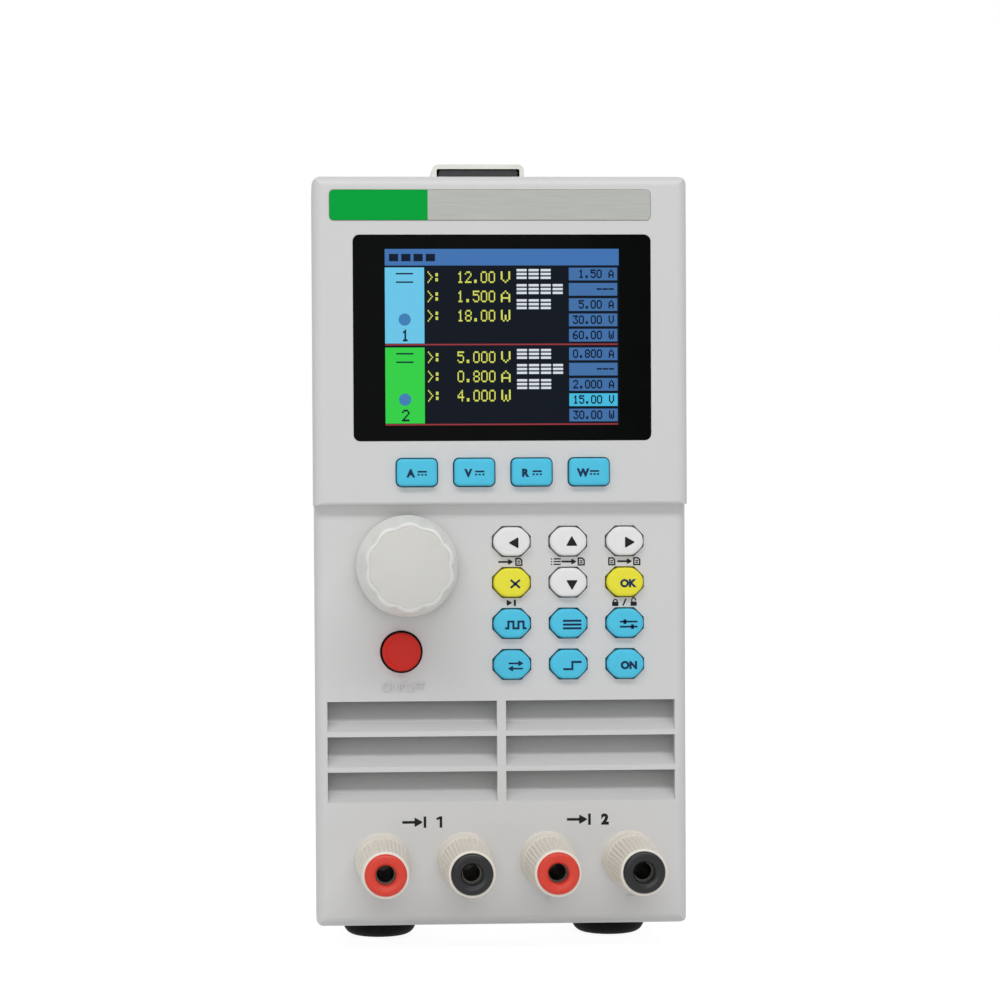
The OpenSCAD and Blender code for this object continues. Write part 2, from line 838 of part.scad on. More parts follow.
module knob() {
    bush_room = knob_lift + bush_out + knob_push;
    color("#d2d2ce") on_panel(panel_d) translate([knob_u, knob_v, 0]) difference() {
        rotate_extrude() knob_profile();
        knob_flutes_cut();
        translate([0, 0, -cut]) cylinder(r = bush_r + 4 * fit, h = bush_room + cut);
        translate([0, 0, -cut]) cylinder(r = shaft_r + shaft_fit, h = knob_h - knob_face_t + fit + cut);
    }
}

module power_switch() {
    color("#2b2b2b") translate([power_u, 0, power_v])
        slab(board_d - power_switch_h, board_d) difference() {
            square(power_switch_w, center = true);
            circle(power_stem_r + stem_fit);
        }
}

// A round cap with a bevelled rim, on a stem that runs in the switch
module power_button() {
    r = power_d / 2;
    face = panel_d - power_proud;
    switch_d = board_d - power_switch_h;
    cap_end = inner_d + power_out + bite;
    stem_tip = switch_d + power_switch_h - power_in - 2 * bite;
    color("#bc332a") translate([power_u, 0, power_v]) {
        on_panel(cap_end) rotate_extrude()
            polygon([
                [0, 0], [r, 0], [r, cap_end - face - key_bevel],
                [r - key_bevel, cap_end - face], [0, cap_end - face]
            ]);
        slab(cap_end - bite, stem_tip) circle(power_stem_r);
    }
}

// Keys: a bevelled cap, a lip behind the panel and a stem that runs in a switch.
// The first outline is the cap's own, the second its face and the third its lip.
module key(front_d) {
    face = front_d - key_proud;
    lip_d = front_d + wall + key_slack;
    slab(face + key_bevel, lip_d + bite) children(0);
    hull() {
        slab(face + key_bevel, face + key_bevel + skin) children(0);
        slab(face, face + skin) children(1);
    }
    slab(lip_d, lip_d + key_lip_t) children(2);
    slab(lip_d + key_lip_t - bite, stem_end) circle(stem_r);
}

module soft_key(i) {
    place = soft_place(i);
    color("#3ebbdd") translate([place.x, 0, place.y]) key(0) {
        soft_outline(0);
        soft_outline(-key_bevel);
        soft_outline(key_lip);
    }
}

module pad_key(i) {
    place = pad_place(i);
    color(pad_colors[i]) translate([place.x, 0, place.y]) key(panel_d) {
        pad_outline(0);
        pad_outline(-key_bevel);
        pad_outline(key_lip);
    }
}

// Binding posts

module at_post(i) {
    on_panel(panel_d) translate([post_x(i), post_v, 0]) children();
}

module ring_solid(r_out, r_in, z0, z1) {
    translate([0, 0, z0]) linear_extrude(z1 - z0) difference() {
        circle(r_out);
        circle(r_in);
    }
}

module post_studs() {
    color("#c9a24a") for (i = [0:3]) at_post(i) difference() {
        translate([0, 0, -wall - stud_back]) cylinder(r = stud_r, h = stud_top + wall + stud_back);
        translate([0, 0, stud_top - socket_depth]) cylinder(r = socket_r, h = socket_depth + cut);
    }
}

module post_insulators() {
    color("#d4d0c6") for (i = [0:3]) at_post(i) ring_solid(base_d / 2, stud_r + fit, 0, base_h);
}

module post_rear_nuts() {
    color("#b9bcbe") for (i = [0:3]) at_post(i) translate([0, 0, -wall - rear_nut_t])
        difference() {
            cylinder(r = rear_nut_r, h = rear_nut_t, $fn = 6);
            translate([0, 0, -cut]) cylinder(r = stud_r + fit, h = rear_nut_t + 2 * cut);
        }
}

module post_washer(i) {
    color("#c3c6c8") at_post(i) ring_solid(washer_r, stud_r + fit, base_h, base_h + washer_t);
}

// An outline with straight ridges, from ridge_depth below radius r up to r
module ridged_outline(r) {
    step = 180 / nut_ridges;
    polygon([
        for (i = [0 : 2 * nut_ridges - 1])
            (r - (i % 2) * ridge_depth) * [cos(i * step), sin(i * step)]
    ]);
}

module post_nut(i) {
    color("#d4d0c6") at_post(i) difference() {
        translate([0, 0, nut_z])
            linear_extrude(nut_top - nut_z, scale = nut_tip_d / nut_d) ridged_outline(nut_d / 2);
        cylinder(r = stud_r + shaft_fit, h = post_len);
        cylinder(r = washer_seat_r, h = base_h + washer_t + nut_gap);
        translate([0, 0, ring_z]) cylinder(r = ring_d / 2 + screw_fit, h = ring_h);
    }
}

module post_ring(i) {
    r = ring_d / 2;
    e = ring_edge_r;
    color(post_colors[i]) at_post(i) rotate_extrude() {
        translate([ring_bore_r, ring_z]) square([r - ring_bore_r, ring_h - e]);
        translate([ring_bore_r, ring_z]) square([r - ring_bore_r - e, ring_h]);
        translate([r - e, post_len - e]) circle(e);
    }
}

// Sheet metal case

module chassis() {
    flange_end = fan_d - fit;
    color("#a9adb0") difference() {
        union() {
            slab(case_d, rear_d) translate([0, case_inset + sheet_t / 2])
                square([chassis_w, sheet_t], center = true);
            slab(rear_d - sheet_t, rear_d) translate([0, case_inset + (sheet_t + lip_h) / 2])
                square([chassis_w, sheet_t + lip_h], center = true);
            for (side = [-1, 1])
                slab(flange_d, flange_end)
                    translate([side * (chassis_w - sheet_t) / 2, case_inset + flange_h / 2])
                        square([sheet_t, flange_h], center = true);
        }
        at_feet() cylinder(r = foot_plug_r + fit, h = foot_h + 2 * sheet_t);
        slab(rear_d - 2 * sheet_t, rear_d + cut) at_lip_screws() circle(screw_r + screw_fit);
        at_side_screws() translate([0, 0, -screw_l]) cylinder(r = screw_r + screw_fit, h = screw_l);
    }
}

// An inverted U with a lip bent down behind the rear panel
module top_cover() {
    color("#d6d7d6") difference() {
        union() {
            slab(case_d, rear_d) translate([0, case_inset]) difference() {
                arch(case_w, case_h, bend_r, bend_r);
                translate([0, -cut])
                    arch(case_w - 2 * sheet_t, case_h - sheet_t + cut, bend_r - sheet_t, bend_r - sheet_t);
            }
            slab(rear_d - sheet_t, rear_d) translate([0, top_v - (sheet_t + lip_h) / 2])
                square([chassis_w - 2 * bend_r, sheet_t + lip_h], center = true);
        }
        slab(rear_d - 2 * sheet_t, rear_d + cut) at_lip_screws() circle(screw_r + screw_fit);
        at_side_screws() translate([0, 0, -screw_l]) cylinder(r = screw_r + screw_fit, h = screw_l + cut);
        at_side_screws() flat_head(screw_fit);
    }
}

module port_outline(grow) {
    x = port_top_w / 2 + grow;
    y = port_h / 2 + grow;
    polygon([[-x, y], [x, y], [x - port_slant, -y], [port_slant - x, -y]]);
}

module rear_panel() {
    color("#d6d7d6") slab(rear_d, case_depth) difference() {
        translate([0, case_inset + case_h / 2]) rounded_rect(case_w, case_h, bend_r);
        translate([0, fan_z - bezel_z]) circle(duct_r);
        at_fan_screws() circle(screw_r + screw_fit);
        at_lip_screws() circle(screw_r + screw_fit);
        translate([0, inlet_z - bezel_z])
            square(inlet_hole + 2 * (inlet_wall + fit) * [1, 1], center = true);
        for (x = [-inlet_screw_x, inlet_screw_x])
            translate([x, inlet_z - bezel_z]) circle(screw_r + screw_fit);
        translate([0, port_z - bezel_z]) port_outline(fit);
        for (x = [-port_screw_x, port_screw_x])
            translate([x, port_z - bezel_z]) circle(screw_r + screw_fit);
    }
}

module cross_recess(z) {
    slot_w = head_r / 4;
    slot_l = 1.2 * head_r;
    for (turn = [0, 90])
        rotate(turn) translate([-slot_l / 2, -slot_w / 2, z]) cube([slot_l, slot_w, head_h]);
}

// A pan head screw with a cross recess, its head above the seat and its shank below
module screw(length) {
    difference() {
        union() {
            cylinder(r = head_r, h = head_h);
            translate([0, 0, -length]) cylinder(r = screw_r, h = length + bite);
        }
        cross_recess(head_h / 2);
    }
}

// The cone of a flat head, as deep as the cover's sheet
module flat_head(grow) {
    translate([0, 0, -sheet_t]) cylinder(r1 = screw_r + grow, r2 = head_r + grow, h = sheet_t);
}

// A flat head screw that lies flush in the cover
module flat_screw(length) {
    difference() {
        union() {
            flat_head(0);
            translate([0, 0, -length]) cylinder(r = screw_r, h = length - sheet_t + bite);
        }
        cross_recess(-sheet_t / 2);
    }
}

module case_screws() {
    color("#8d9092") {
        at_side_screws() flat_screw(side_screw_l);
        on_panel(case_depth) at_lip_screws() rotate([180, 0, 0]) screw(screw_l - fit);
        on_panel(case_depth + eye_t) at_fan_screws() rotate([180, 0, 0]) screw(screw_l + eye_t - fit);
        on_panel(board_d + board_t) at_bosses() rotate([180, 0, 0]) screw(screw_l);
        for (x = [-inlet_screw_x, inlet_screw_x])
            on_rear(x, inlet_z, case_depth + inlet_flange_t) screw(screw_l - fit);
        for (x = [-port_screw_x, port_screw_x])
            on_rear(x, port_z, case_depth + port_flange_t) screw(screw_l - fit);
    }
}

// A round rubber foot with a full lower edge and a plug that fills its hole in the chassis
module feet() {
    e = foot_edge_r;
    color("#101010") at_feet() {
        rotate_extrude() {
            translate([0, e]) square([foot_r, foot_h - e]);
            square([foot_r - e, foot_h]);
            intersection() {
                translate([foot_r - e, e]) circle(e);
                translate([foot_r - e, 0]) square(e);
            }
        }
        cylinder(r = foot_plug_r, h = floor_z);
    }
}

// Strap handle

module both_ends() {
    children();
    translate([0, 2 * (y_front + handle_mid), 0]) mirror([0, 1, 0]) children();
}

module handle_caps() {
    color("#c9cbcd") both_ends() slab(cap_front, cap_front + cap_l) translate([0, top_v]) difference() {
        arch(cap_w, cap_h, cap_r, cap_r);
        translate([0, -cut])
            arch(cap_w - 2 * cap_wall, cap_h - cap_wall + cut, cap_r - cap_wall, cap_r - cap_wall);
    }
}

// The strap's ends: a thick end in the cap, which thins down to the strap's height above the case
module strap_flex() {
    inside = cap_front + strap_set;
    outside = cap_front + cap_l;
    slope_end = outside + 2 * strap_t;
    end_top = top_v + cap_h - cap_wall - 2 * fit;
    low = top_v + strap_gap;
    color("#1b1c1e") both_ends() across(-strap_w / 2, strap_w / 2)
        polygon([
            [inside, top_v + fit], [outside, top_v + fit], [slope_end, low], [grip_d, low],
            [grip_d, low + strap_t], [slope_end, low + strap_t], [outside, end_top], [inside, end_top]
        ]);
}

module strap_grip() {
    color("#1b1c1e") slab(grip_d, grip_d + grip_l)
        translate([0, top_v + strap_gap + strap_t / 2]) rounded_rect(strap_w, strap_t, strap_t / 3);
}

// Fan

module fan_frame() {
    strut_w = 4;
    color("#1d1e20") translate([0, 0, fan_z - bezel_z]) difference() {
        union() {
            slab(fan_d, rear_d) difference() {
                rounded_rect(fan_w, fan_w, 2 * duct_wall);
                circle(duct_r);
            }
            slab(rear_d - motor_plate_t, rear_d) {
                circle(hub_r);
                for (turn = [45, 135]) rotate(turn) square([2 * duct_r + bite, strut_w], center = true);
            }
            slab(rear_d - fan_t / 2, rear_d) circle(spindle_r);
        }
        slab(fan_d - cut, rear_d - motor_plate_t) circle(pin_r + shaft_fit);
        translate([0, 0, bezel_z - fan_z]) slab(fan_d - cut, rear_d + cut)
            at_fan_screws() circle(screw_r + screw_fit);
    }
}

// A cup-shaped hub on a pin, with twisted blades
module fan_rotor() {
    hub_d = fan_d + hub_gap;
    pin_end = rear_d - motor_plate_t - bite;
    sweep_l = hub_l - 2 * hub_gap;
    color("#26282b") translate([0, 0, fan_z - bezel_z]) {
        difference() {
            slab(hub_d, hub_d + hub_l) circle(hub_r);
            slab(hub_d + hub_wall, hub_d + hub_l + cut) circle(hub_r - hub_wall);
        }
        slab(hub_d + hub_wall - bite, pin_end) circle(pin_r);
        on_panel(hub_d + hub_gap + sweep_l)
            for (i = [0 : fan_blades - 1])
                rotate(i * 360 / fan_blades)
                    linear_extrude(sweep_l, twist = blade_twist, slices = 3, segments = 4)
                        translate([hub_r - bite, -hub_wall / 4]) square([tip_r - hub_r + bite, hub_wall / 2]);
    }
}

// Wire rings on four spokes that end in screw eyes
module fan_guard() {
    reach = fan_pitch / sqrt(2);
    first_r = hub_r / 2;
    ring_step = (tip_r - first_r) / (guard_rings - 1);
    color("#b9bcbe") on_rear(0, fan_z, case_depth) difference() {
        union() {
            for (i = [0 : guard_rings - 1])
                translate([0, 0, guard_t - wire_r]) rotate_extrude()
                    translate([first_r + i * ring_step, 0]) circle(wire_r);
            for (turn = [45 : 90 : 315]) rotate(turn) {
                translate([first_r, 0, eye_t / 2]) rotate([0, 90, 0])
                    cylinder(r = wire_r, h = reach - first_r);
                translate([reach, 0, 0]) cylinder(r = eye_r, h = eye_t);
            }
        }
        for (turn = [45 : 90 : 315])
            rotate(turn) translate([reach, 0, -cut]) cylinder(r = screw_r + screw_fit, h = eye_t + 2 * cut);
    }
}

// Power section

module heatsinks() {
    fin_step = (sink_w - fin_t) / (fins - 1);
    color("#9a9da0") for (side = [0, 1]) mirror([side, 0, 0]) slab(sink_front, sink_rear)
        translate([bite, floor_z - bezel_z]) {
            translate([0, sink_h - sink_base]) square([sink_w, sink_base]);
            for (i = [0 : fins - 1]) translate([i * fin_step, 0]) square([fin_t, sink_h - sink_base + bite]);
        }
}

// Flat packages on the heat sinks, each with three leads up to the power board
module mosfets() {
    size = transistor_size;
    lead = 1.2;
    span = (sink_rear - sink_front) / transistors;
    color("#1d1e20") for (side = [-1, 1], i = [0 : transistors - 1])
        translate([side * sink_w / 2, y_front + sink_front + (i + 0.5) * span, sink_top]) {
            translate([-size.x / 2, -size.y / 2, 0]) cube(size);
            for (pin = [-1, 0, 1])
                translate([pin * size.x / 3 - lead / 2, size.y / 2 - lead, size.z - bite])
                    cube([lead, lead, board_lift - size.z + bite]);
        }
}

module power_board() {
    board_l = sink_rear - sink_front;
    end_d = [sink_front + 2 * standoff_r, sink_rear - 2 * standoff_r];
    color("#1f6b3a") {
        translate([-sink_w, y_front + sink_front, power_board_z]) cube([2 * sink_w, board_l, board_t]);
        for (x = [-standoff_x, standoff_x], d = end_d)
            translate([x, y_front + d, sink_top]) cylinder(r = standoff_r, h = board_lift);
    }
}

// A laminated core with a winding that shows in front of and behind it
module transformer() {
    winding_w = 0.64 * core_w;
    winding_h = 0.64 * core_h;
    winding_l = 1.5 * core_l;
    color("#6b4a2a") {
        slab(core_d - core_l / 2, core_d + core_l / 2)
            translate([0, core_z - bezel_z + core_h / 2]) square([core_w, core_h], center = true);
        slab(core_d - winding_l / 2, core_d + winding_l / 2)
            translate([0, core_z - bezel_z + core_h / 2]) rounded_rect(winding_w, winding_h, winding_h / 6);
    }
}

// Rear connectors

module iec_inlet() {
    outer = inlet_hole + 2 * inlet_wall * [1, 1];
    back_t = 2 * inlet_wall;
    mouth_d = case_depth + inlet_flange_t;
    color("#1d1e20") translate([0, 0, inlet_z - bezel_z]) {
        difference() {
            union() {
                slab(case_depth, mouth_d) difference() {
                    rounded_rect(inlet_flange.x, inlet_flange.y, inlet_wall);
                    for (x = [-inlet_screw_x, inlet_screw_x]) translate([x, 0]) circle(screw_r + screw_fit);
                }
                slab(mouth_d - inlet_depth - back_t, case_depth + bite) square(outer, center = true);
            }
            slab(mouth_d - inlet_depth, mouth_d + cut) square(inlet_hole, center = true);
        }
        slab(mouth_d - inlet_depth - bite, mouth_d - inlet_flange_t)
            for (place = pin_places) translate(place) square(pin_size, center = true);
    }
}

// A flange, a shell with slanting sides and two rows of contacts
module serial_port() {
    contact_r = 0.55;
    color("#8f9396") translate([0, 0, port_z - bezel_z]) difference() {
        union() {
            slab(case_depth, case_depth + port_flange_t) rounded_rect(port_flange.x, port_flange.y, 1);
            slab(rear_d - port_proud, case_depth + port_flange_t + port_proud) port_outline(0);
        }
        slab(case_depth - cut, case_depth + port_flange_t + cut)
            for (x = [-port_screw_x, port_screw_x]) translate([x, 0]) circle(screw_r + screw_fit);
        slab(case_depth, case_depth + port_flange_t + port_proud + cut)
            for (row = [0, 1], i = [0 : 4 - row])
                translate([(i - 2 + row / 2) * port_pin_pitch, (0.5 - row) * port_pin_pitch])
                    circle(contact_r);
    }
}

front_bezel();
nameplate();
screen_window();
lcd_module();
front_board();
tact_switches();
encoder_body();
encoder_rotor();
encoder_shaft();
knob();
power_switch();
power_button();
for (i = [0:3]) {
    soft_key(i);
    post_washer(i);
    post_nut(i);
    post_ring(i);
}
for (i = [0:11])
    pad_key(i);
post_studs();
post_insulators();
post_rear_nuts();
chassis();
top_cover();
rear_panel();
case_screws();
feet();
handle_caps();
strap_flex();
strap_grip();
fan_frame();
fan_rotor();
fan_guard();
heatsinks();
mosfets();
power_board();
transformer();
iec_inlet();
serial_port();
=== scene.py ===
"""Looks of a two-channel dc electronic load, a tall and narrow bench instrument.

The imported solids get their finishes. Keys, knob, posts, strap, prints and the picture on the display are
surfaces worked out here and set on the solids that carry them. Lengths are in millimetres until `piece`
writes a mesh in metres. A shape is drawn in a local frame, right, up and out of the panel, and `stand`
puts it where it belongs.
"""

import math

import bmesh
import bpy
import numpy as np
from mathutils import Matrix, Vector


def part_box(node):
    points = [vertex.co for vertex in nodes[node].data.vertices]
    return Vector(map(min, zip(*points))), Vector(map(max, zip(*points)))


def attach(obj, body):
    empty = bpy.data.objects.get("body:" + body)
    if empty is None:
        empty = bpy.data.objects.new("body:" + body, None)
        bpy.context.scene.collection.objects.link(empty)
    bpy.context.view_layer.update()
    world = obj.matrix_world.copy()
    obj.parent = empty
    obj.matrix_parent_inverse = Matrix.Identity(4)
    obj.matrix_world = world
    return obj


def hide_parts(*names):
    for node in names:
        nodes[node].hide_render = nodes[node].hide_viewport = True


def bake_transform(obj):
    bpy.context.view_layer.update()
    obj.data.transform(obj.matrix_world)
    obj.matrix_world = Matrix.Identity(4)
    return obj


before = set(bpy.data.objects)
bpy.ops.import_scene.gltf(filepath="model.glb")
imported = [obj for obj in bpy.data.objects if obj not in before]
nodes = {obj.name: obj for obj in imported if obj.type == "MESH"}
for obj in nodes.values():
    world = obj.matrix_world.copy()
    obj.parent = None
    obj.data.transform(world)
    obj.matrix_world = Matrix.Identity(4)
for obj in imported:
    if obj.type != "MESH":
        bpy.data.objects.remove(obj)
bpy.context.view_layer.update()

MM = 0.001


def corners(node):
    """Lowest and highest corner of a solid, in millimetres."""
    low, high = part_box(node)
    return np.array(low) / MM, np.array(high) / MM


def middle_at(low, high, y):
    """The middle of a box as seen from the front, at a depth y."""
    return np.array([(low[0] + high[0]) / 2, y, (low[2] + high[2]) / 2])


BEZEL_LOW = corners("front_bezel")[0]
STEP_DEPTH = 2.5
UPPER_FACE = BEZEL_LOW[1]
LOWER_FACE = UPPER_FACE + STEP_DEPTH
FOOT_OF_PANEL = BEZEL_LOW[2]


# Shapes: each is a pair of points and faces

def stand(local, origin):
    """Local points (right, up, out) set about an origin of the frame: x is right, z is up, and out points
    along -y."""
    right, up, out = np.moveaxis(np.asarray(local, float), -1, 0)
    return np.stack([origin[0] + right, origin[1] - out, origin[2] + up], axis=-1)


def skin(grid, ring=(False, True), fill=True):
    """Quads over a grid of points. ring says which of the two directions closes on itself, and fill
    closes the first and last row with a flat face each."""
    rows, columns = grid.shape[:2]
    index = np.arange(rows * columns).reshape(rows, columns)
    web = np.concatenate([index, index[:1]], axis=0) if ring[0] else index
    web = np.concatenate([web, web[:, :1]], axis=1) if ring[1] else web
    quads = np.stack([web[:-1, :-1], web[:-1, 1:], web[1:, 1:], web[1:, :-1]], axis=-1).reshape(-1, 4)
    ends = [index[0, ::-1].tolist(), index[-1].tolist()] if fill and not ring[0] else []
    return grid.reshape(-1, 3), quads.tolist() + ends


def arc(centre, radius, start, end, steps=7):
    """Points of a circular arc in the plane, from one angle to another, in degrees."""
    turn = np.radians(np.linspace(start, end, steps))
    return np.stack([centre[0] + radius * np.cos(turn), centre[1] + radius * np.sin(turn)], axis=-1)


def turned(profile, steps=96):
    """Surface of revolution: each profile point (radius, out) runs round the out axis."""
    radius, out = np.asarray(profile, float).T[:, :, None]
    turn = np.linspace(0, 2 * np.pi, steps, endpoint=False)
    return np.stack([radius * np.cos(turn), radius * np.sin(turn), out + 0 * turn], axis=-1)


def rounded(points, radius, inset=0.0, steps=6):
    """Outline of a convex polygon with round corners, moved in by inset. Each corner is an arc about the
    point that lies equally far in from both of its sides, from the one side's normal to the other's."""
    points = np.asarray(points, float)
    along = np.roll(points, -1, axis=0) - points
    along /= np.linalg.norm(along, axis=1, keepdims=True)
    after = np.stack([-along[:, 1], along[:, 0]], axis=1)
    before = np.roll(after, 1, axis=0)
    bend = max(radius - inset, 0.02)
    toward = (before + after) / (1 + np.sum(before * after, axis=1, keepdims=True))
    centre = points + (inset + bend) * toward
    start = np.arctan2(-before[:, 1], -before[:, 0])
    cross = before[:, 0] * after[:, 1] - before[:, 1] * after[:, 0]
    sweep = np.arctan2(cross, np.sum(before * after, axis=1))
    angle = start[:, None] + sweep[:, None] * np.linspace(0, 1, steps)
    ring = centre[:, None] + bend * np.stack([np.cos(angle), np.sin(angle)], axis=-1)
    return ring.reshape(-1, 2)


def oblong(width, height):
    """Corners of a rectangle about the origin, counter-clockwise."""
    return np.array([[-1, -1], [1, -1], [1, 1], [-1, 1]]) * (width / 2, height / 2)


def carried(outline, radius, profile):
    """A profile carried round an outline: each profile row (inset, out) is the outline moved in by inset
    at that height."""
    rings = [rounded(outline, radius, inset) for inset, out in profile]
    heights = [np.full((len(ring), 1), out) for ring, (inset, out) in zip(rings, profile)]
    return np.stack([np.concatenate(pair, axis=1) for pair in zip(rings, heights)])


def slab(outline, radius, low, high):
    """A flat plate with an outline, from one height to another."""
    return skin(carried(outline, radius, [(0, low), (0, high)]))


def stroke(path, section, closed=False):
    """A section (across, out) carried along a flat path, square to the bisector of the two lines that
    meet at each point, and wider there by the bend so that the stroke keeps its width."""
    path = np.asarray(path, float)
    section = np.asarray(section, float)
    step = np.roll(path, -1, axis=0) - path
    step /= np.maximum(np.linalg.norm(step, axis=1, keepdims=True), 1e-9)
    back = np.roll(step, 1, axis=0)
    if not closed:
        step[-1] = step[-2]
        back[0] = step[0]
    left = np.stack([-(step + back)[:, 1], (step + back)[:, 0]], axis=1)
    left *= 2 / np.sum(left * left, axis=1, keepdims=True)
    flat = path[:, None] + left[:, None] * section[None, :, :1]
    out = np.broadcast_to(section[None, :, 1:], (*flat.shape[:2], 1))
    return skin(np.concatenate([flat, out], axis=-1), ring=(closed, True))


def moved(shape, origin, shift=(0, 0, 0)):
    """A shape shifted in its local frame and then set about an origin of the frame."""
    points, faces = shape
    return stand(points + np.asarray(shift, float), origin), faces


def moved_flat(shape, right, up=0.0):
    """A shape shifted in its own plane."""
    points, faces = shape
    return points + (right, up, 0), faces


def lettering(words, height, weight=0.06):
    """Letters of the plain built-in face as a solid: height is that of the whole word, centred on the
    origin, and weight thickens its strokes. The solid runs from 0 to INK out of the panel."""
    curve = bpy.data.curves.new("letters", "FONT")
    curve.body = words
    curve.extrude = 0.5
    curve.offset = weight
    curve.resolution_u = 4
    text = bpy.data.objects.new("letters", curve)
    bpy.context.scene.collection.objects.link(text)
    bpy.context.view_layer.update()
    drawn = bpy.data.meshes.new_from_object(text.evaluated_get(bpy.context.evaluated_depsgraph_get()))
    points = np.empty(len(drawn.vertices) * 3, np.float32)
    drawn.vertices.foreach_get("co", points)
    points = points.reshape(-1, 3).astype(float)
    faces = [list(face.vertices) for face in drawn.polygons]
    bpy.data.objects.remove(text)
    low, high = points.min(axis=0), points.max(axis=0)
    scale = height / (high[1] - low[1])
    points[:, :2] = (points[:, :2] - (low + high)[:2] / 2) * scale
    points[:, 2] = (points[:, 2] + 0.5) * INK
    return points, faces


def piece(name, shapes, finish, body, stands_for=(), sharp=35):
    """One piece from shapes in millimetres: doubles are merged, faces point outwards, edges over `sharp`
    degrees stay crisp, and the piece rides on a body."""
    counts = np.cumsum([0] + [len(points) for points, faces in shapes])
    points = np.concatenate([points for points, faces in shapes]) * MM
    faces = [[i + start for i in face] for start, (_, shape) in zip(counts, shapes) for face in shape]
    mesh = bpy.data.meshes.new(name)
    mesh.from_pydata(points.tolist(), [], faces)
    work = bmesh.new()
    work.from_mesh(mesh)
    bmesh.ops.remove_doubles(work, verts=work.verts, dist=1e-7)
    bmesh.ops.recalc_face_normals(work, faces=work.faces)
    work.to_mesh(mesh)
    work.free()
    mesh.shade_smooth()
    mesh.set_sharp_from_angle(angle=math.radians(sharp))
    mesh.materials.append(finish)
    made = bpy.data.objects.new(name, mesh)
    bpy.context.scene.collection.objects.link(made)
    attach(made, body)
    if stands_for:
        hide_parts(*stands_for)
    return made


# Finishes

def linear(colour):
    """sRGB hex to linear red, green, blue and alpha."""
    srgb = np.array([int(colour[i:i + 2], 16) for i in (1, 3, 5)]) / 255
    return (*np.where(srgb <= 0.04045, srgb / 12.92, ((srgb + 0.055) / 1.055) ** 2.4).tolist(), 1.0)


def add(tree, kind, feeds=(), **settings):
    """Adds a node. settings are its properties, and feeds gives its inputs a value or another node's
    output."""
    made = tree.nodes.new(kind)
    for key, value in settings.items():
        setattr(made, key, value)
    for key, value in dict(feeds).items():
        if isinstance(value, bpy.types.NodeSocket):
            tree.links.new(value, made.inputs[key])
        else:
            made.inputs[key].default_value = value
    return made


def blank(name, **sockets):
    """A material with only its shader, whose sockets are set by name, and the output of its Object
    coordinates."""
    material = bpy.data.materials.new(name)
    material.use_nodes = True
    tree = material.node_tree
    shader = tree.nodes["Principled BSDF"]
    for key, value in sockets.items():
        shader.inputs[key.replace("_", " ")].default_value = value
    return material, tree, shader, add(tree, "ShaderNodeTexCoord").outputs["Object"]


def moulded(name, colour, roughness, grain, height, mottle=0.06, tone=9.0, sheen=0.06, **sockets):
    """Injection moulded plastic or rubber. The mould's eroded skin gives a fine grain, `grain`
    millimetres wide and `height` deep, or none from a polished mould. The gloss varies with it by
    `sheen`, and the colour drifts by `mottle` over patches of `tone` millimetres."""
    material, tree, shader, place = blank(name, **sockets)
    patches = add(tree, "ShaderNodeTexNoise", {"Vector": place, "Scale": 1 / (tone * MM), "Detail": 3.0})
    pits = add(tree, "ShaderNodeTexNoise", {"Vector": place, "Scale": 1 / (grain * MM), "Detail": 2.0})
    dark = tuple(c * (1 - mottle) for c in linear(colour)[:3])
    light = tuple(min(c * (1 + mottle), 1) for c in linear(colour)[:3])
    drift = add(tree, "ShaderNodeMix", {"Factor": patches.outputs["Fac"], "A": (*dark, 1), "B": (*light, 1)},
                data_type="RGBA")
    gloss = add(tree, "ShaderNodeMapRange", {"Value": pits.outputs["Fac"], "From Min": 0.3, "From Max": 0.7,
                                             "To Min": roughness - sheen, "To Max": roughness + sheen})
    tree.links.new(drift.outputs["Result"], shader.inputs["Base Color"])
    tree.links.new(gloss.outputs["Result"], shader.inputs["Roughness"])
    if height:
        relief = add(tree, "ShaderNodeBump", {"Height": pits.outputs["Fac"], "Strength": 1.0,
                                              "Distance": height * MM})
        tree.links.new(relief.outputs["Normal"], shader.inputs["Normal"])
    return material


def plated(name, colour, roughness, lay, spread=0.12, marks=0.004, **sockets):
    """Bright metal, rolled, turned or plated. Fine lines along one axis, whose spacing in millimetres is
    `lay` along x, y and z, vary the gloss, as tool marks and polishing do, and stand `marks` millimetres
    deep."""
    material, tree, shader, place = blank(name, Metallic=1.0, Base_Color=linear(colour), **sockets)
    stretch = add(tree, "ShaderNodeMapping", {"Vector": place, "Scale": tuple(1 / (d * MM) for d in lay)})
    lines = add(tree, "ShaderNodeTexNoise", {"Vector": stretch.outputs["Vector"], "Scale": 1.0,
                                             "Detail": 4.0})
    gloss = add(tree, "ShaderNodeMapRange", {"Value": lines.outputs["Fac"], "From Min": 0.3, "From Max": 0.7,
                                             "To Min": roughness, "To Max": roughness + spread})
    relief = add(tree, "ShaderNodeBump", {"Height": lines.outputs["Fac"], "Strength": 0.3,
                                          "Distance": marks * MM})
    tree.links.new(gloss.outputs["Result"], shader.inputs["Roughness"])
    tree.links.new(relief.outputs["Normal"], shader.inputs["Normal"])
    return material


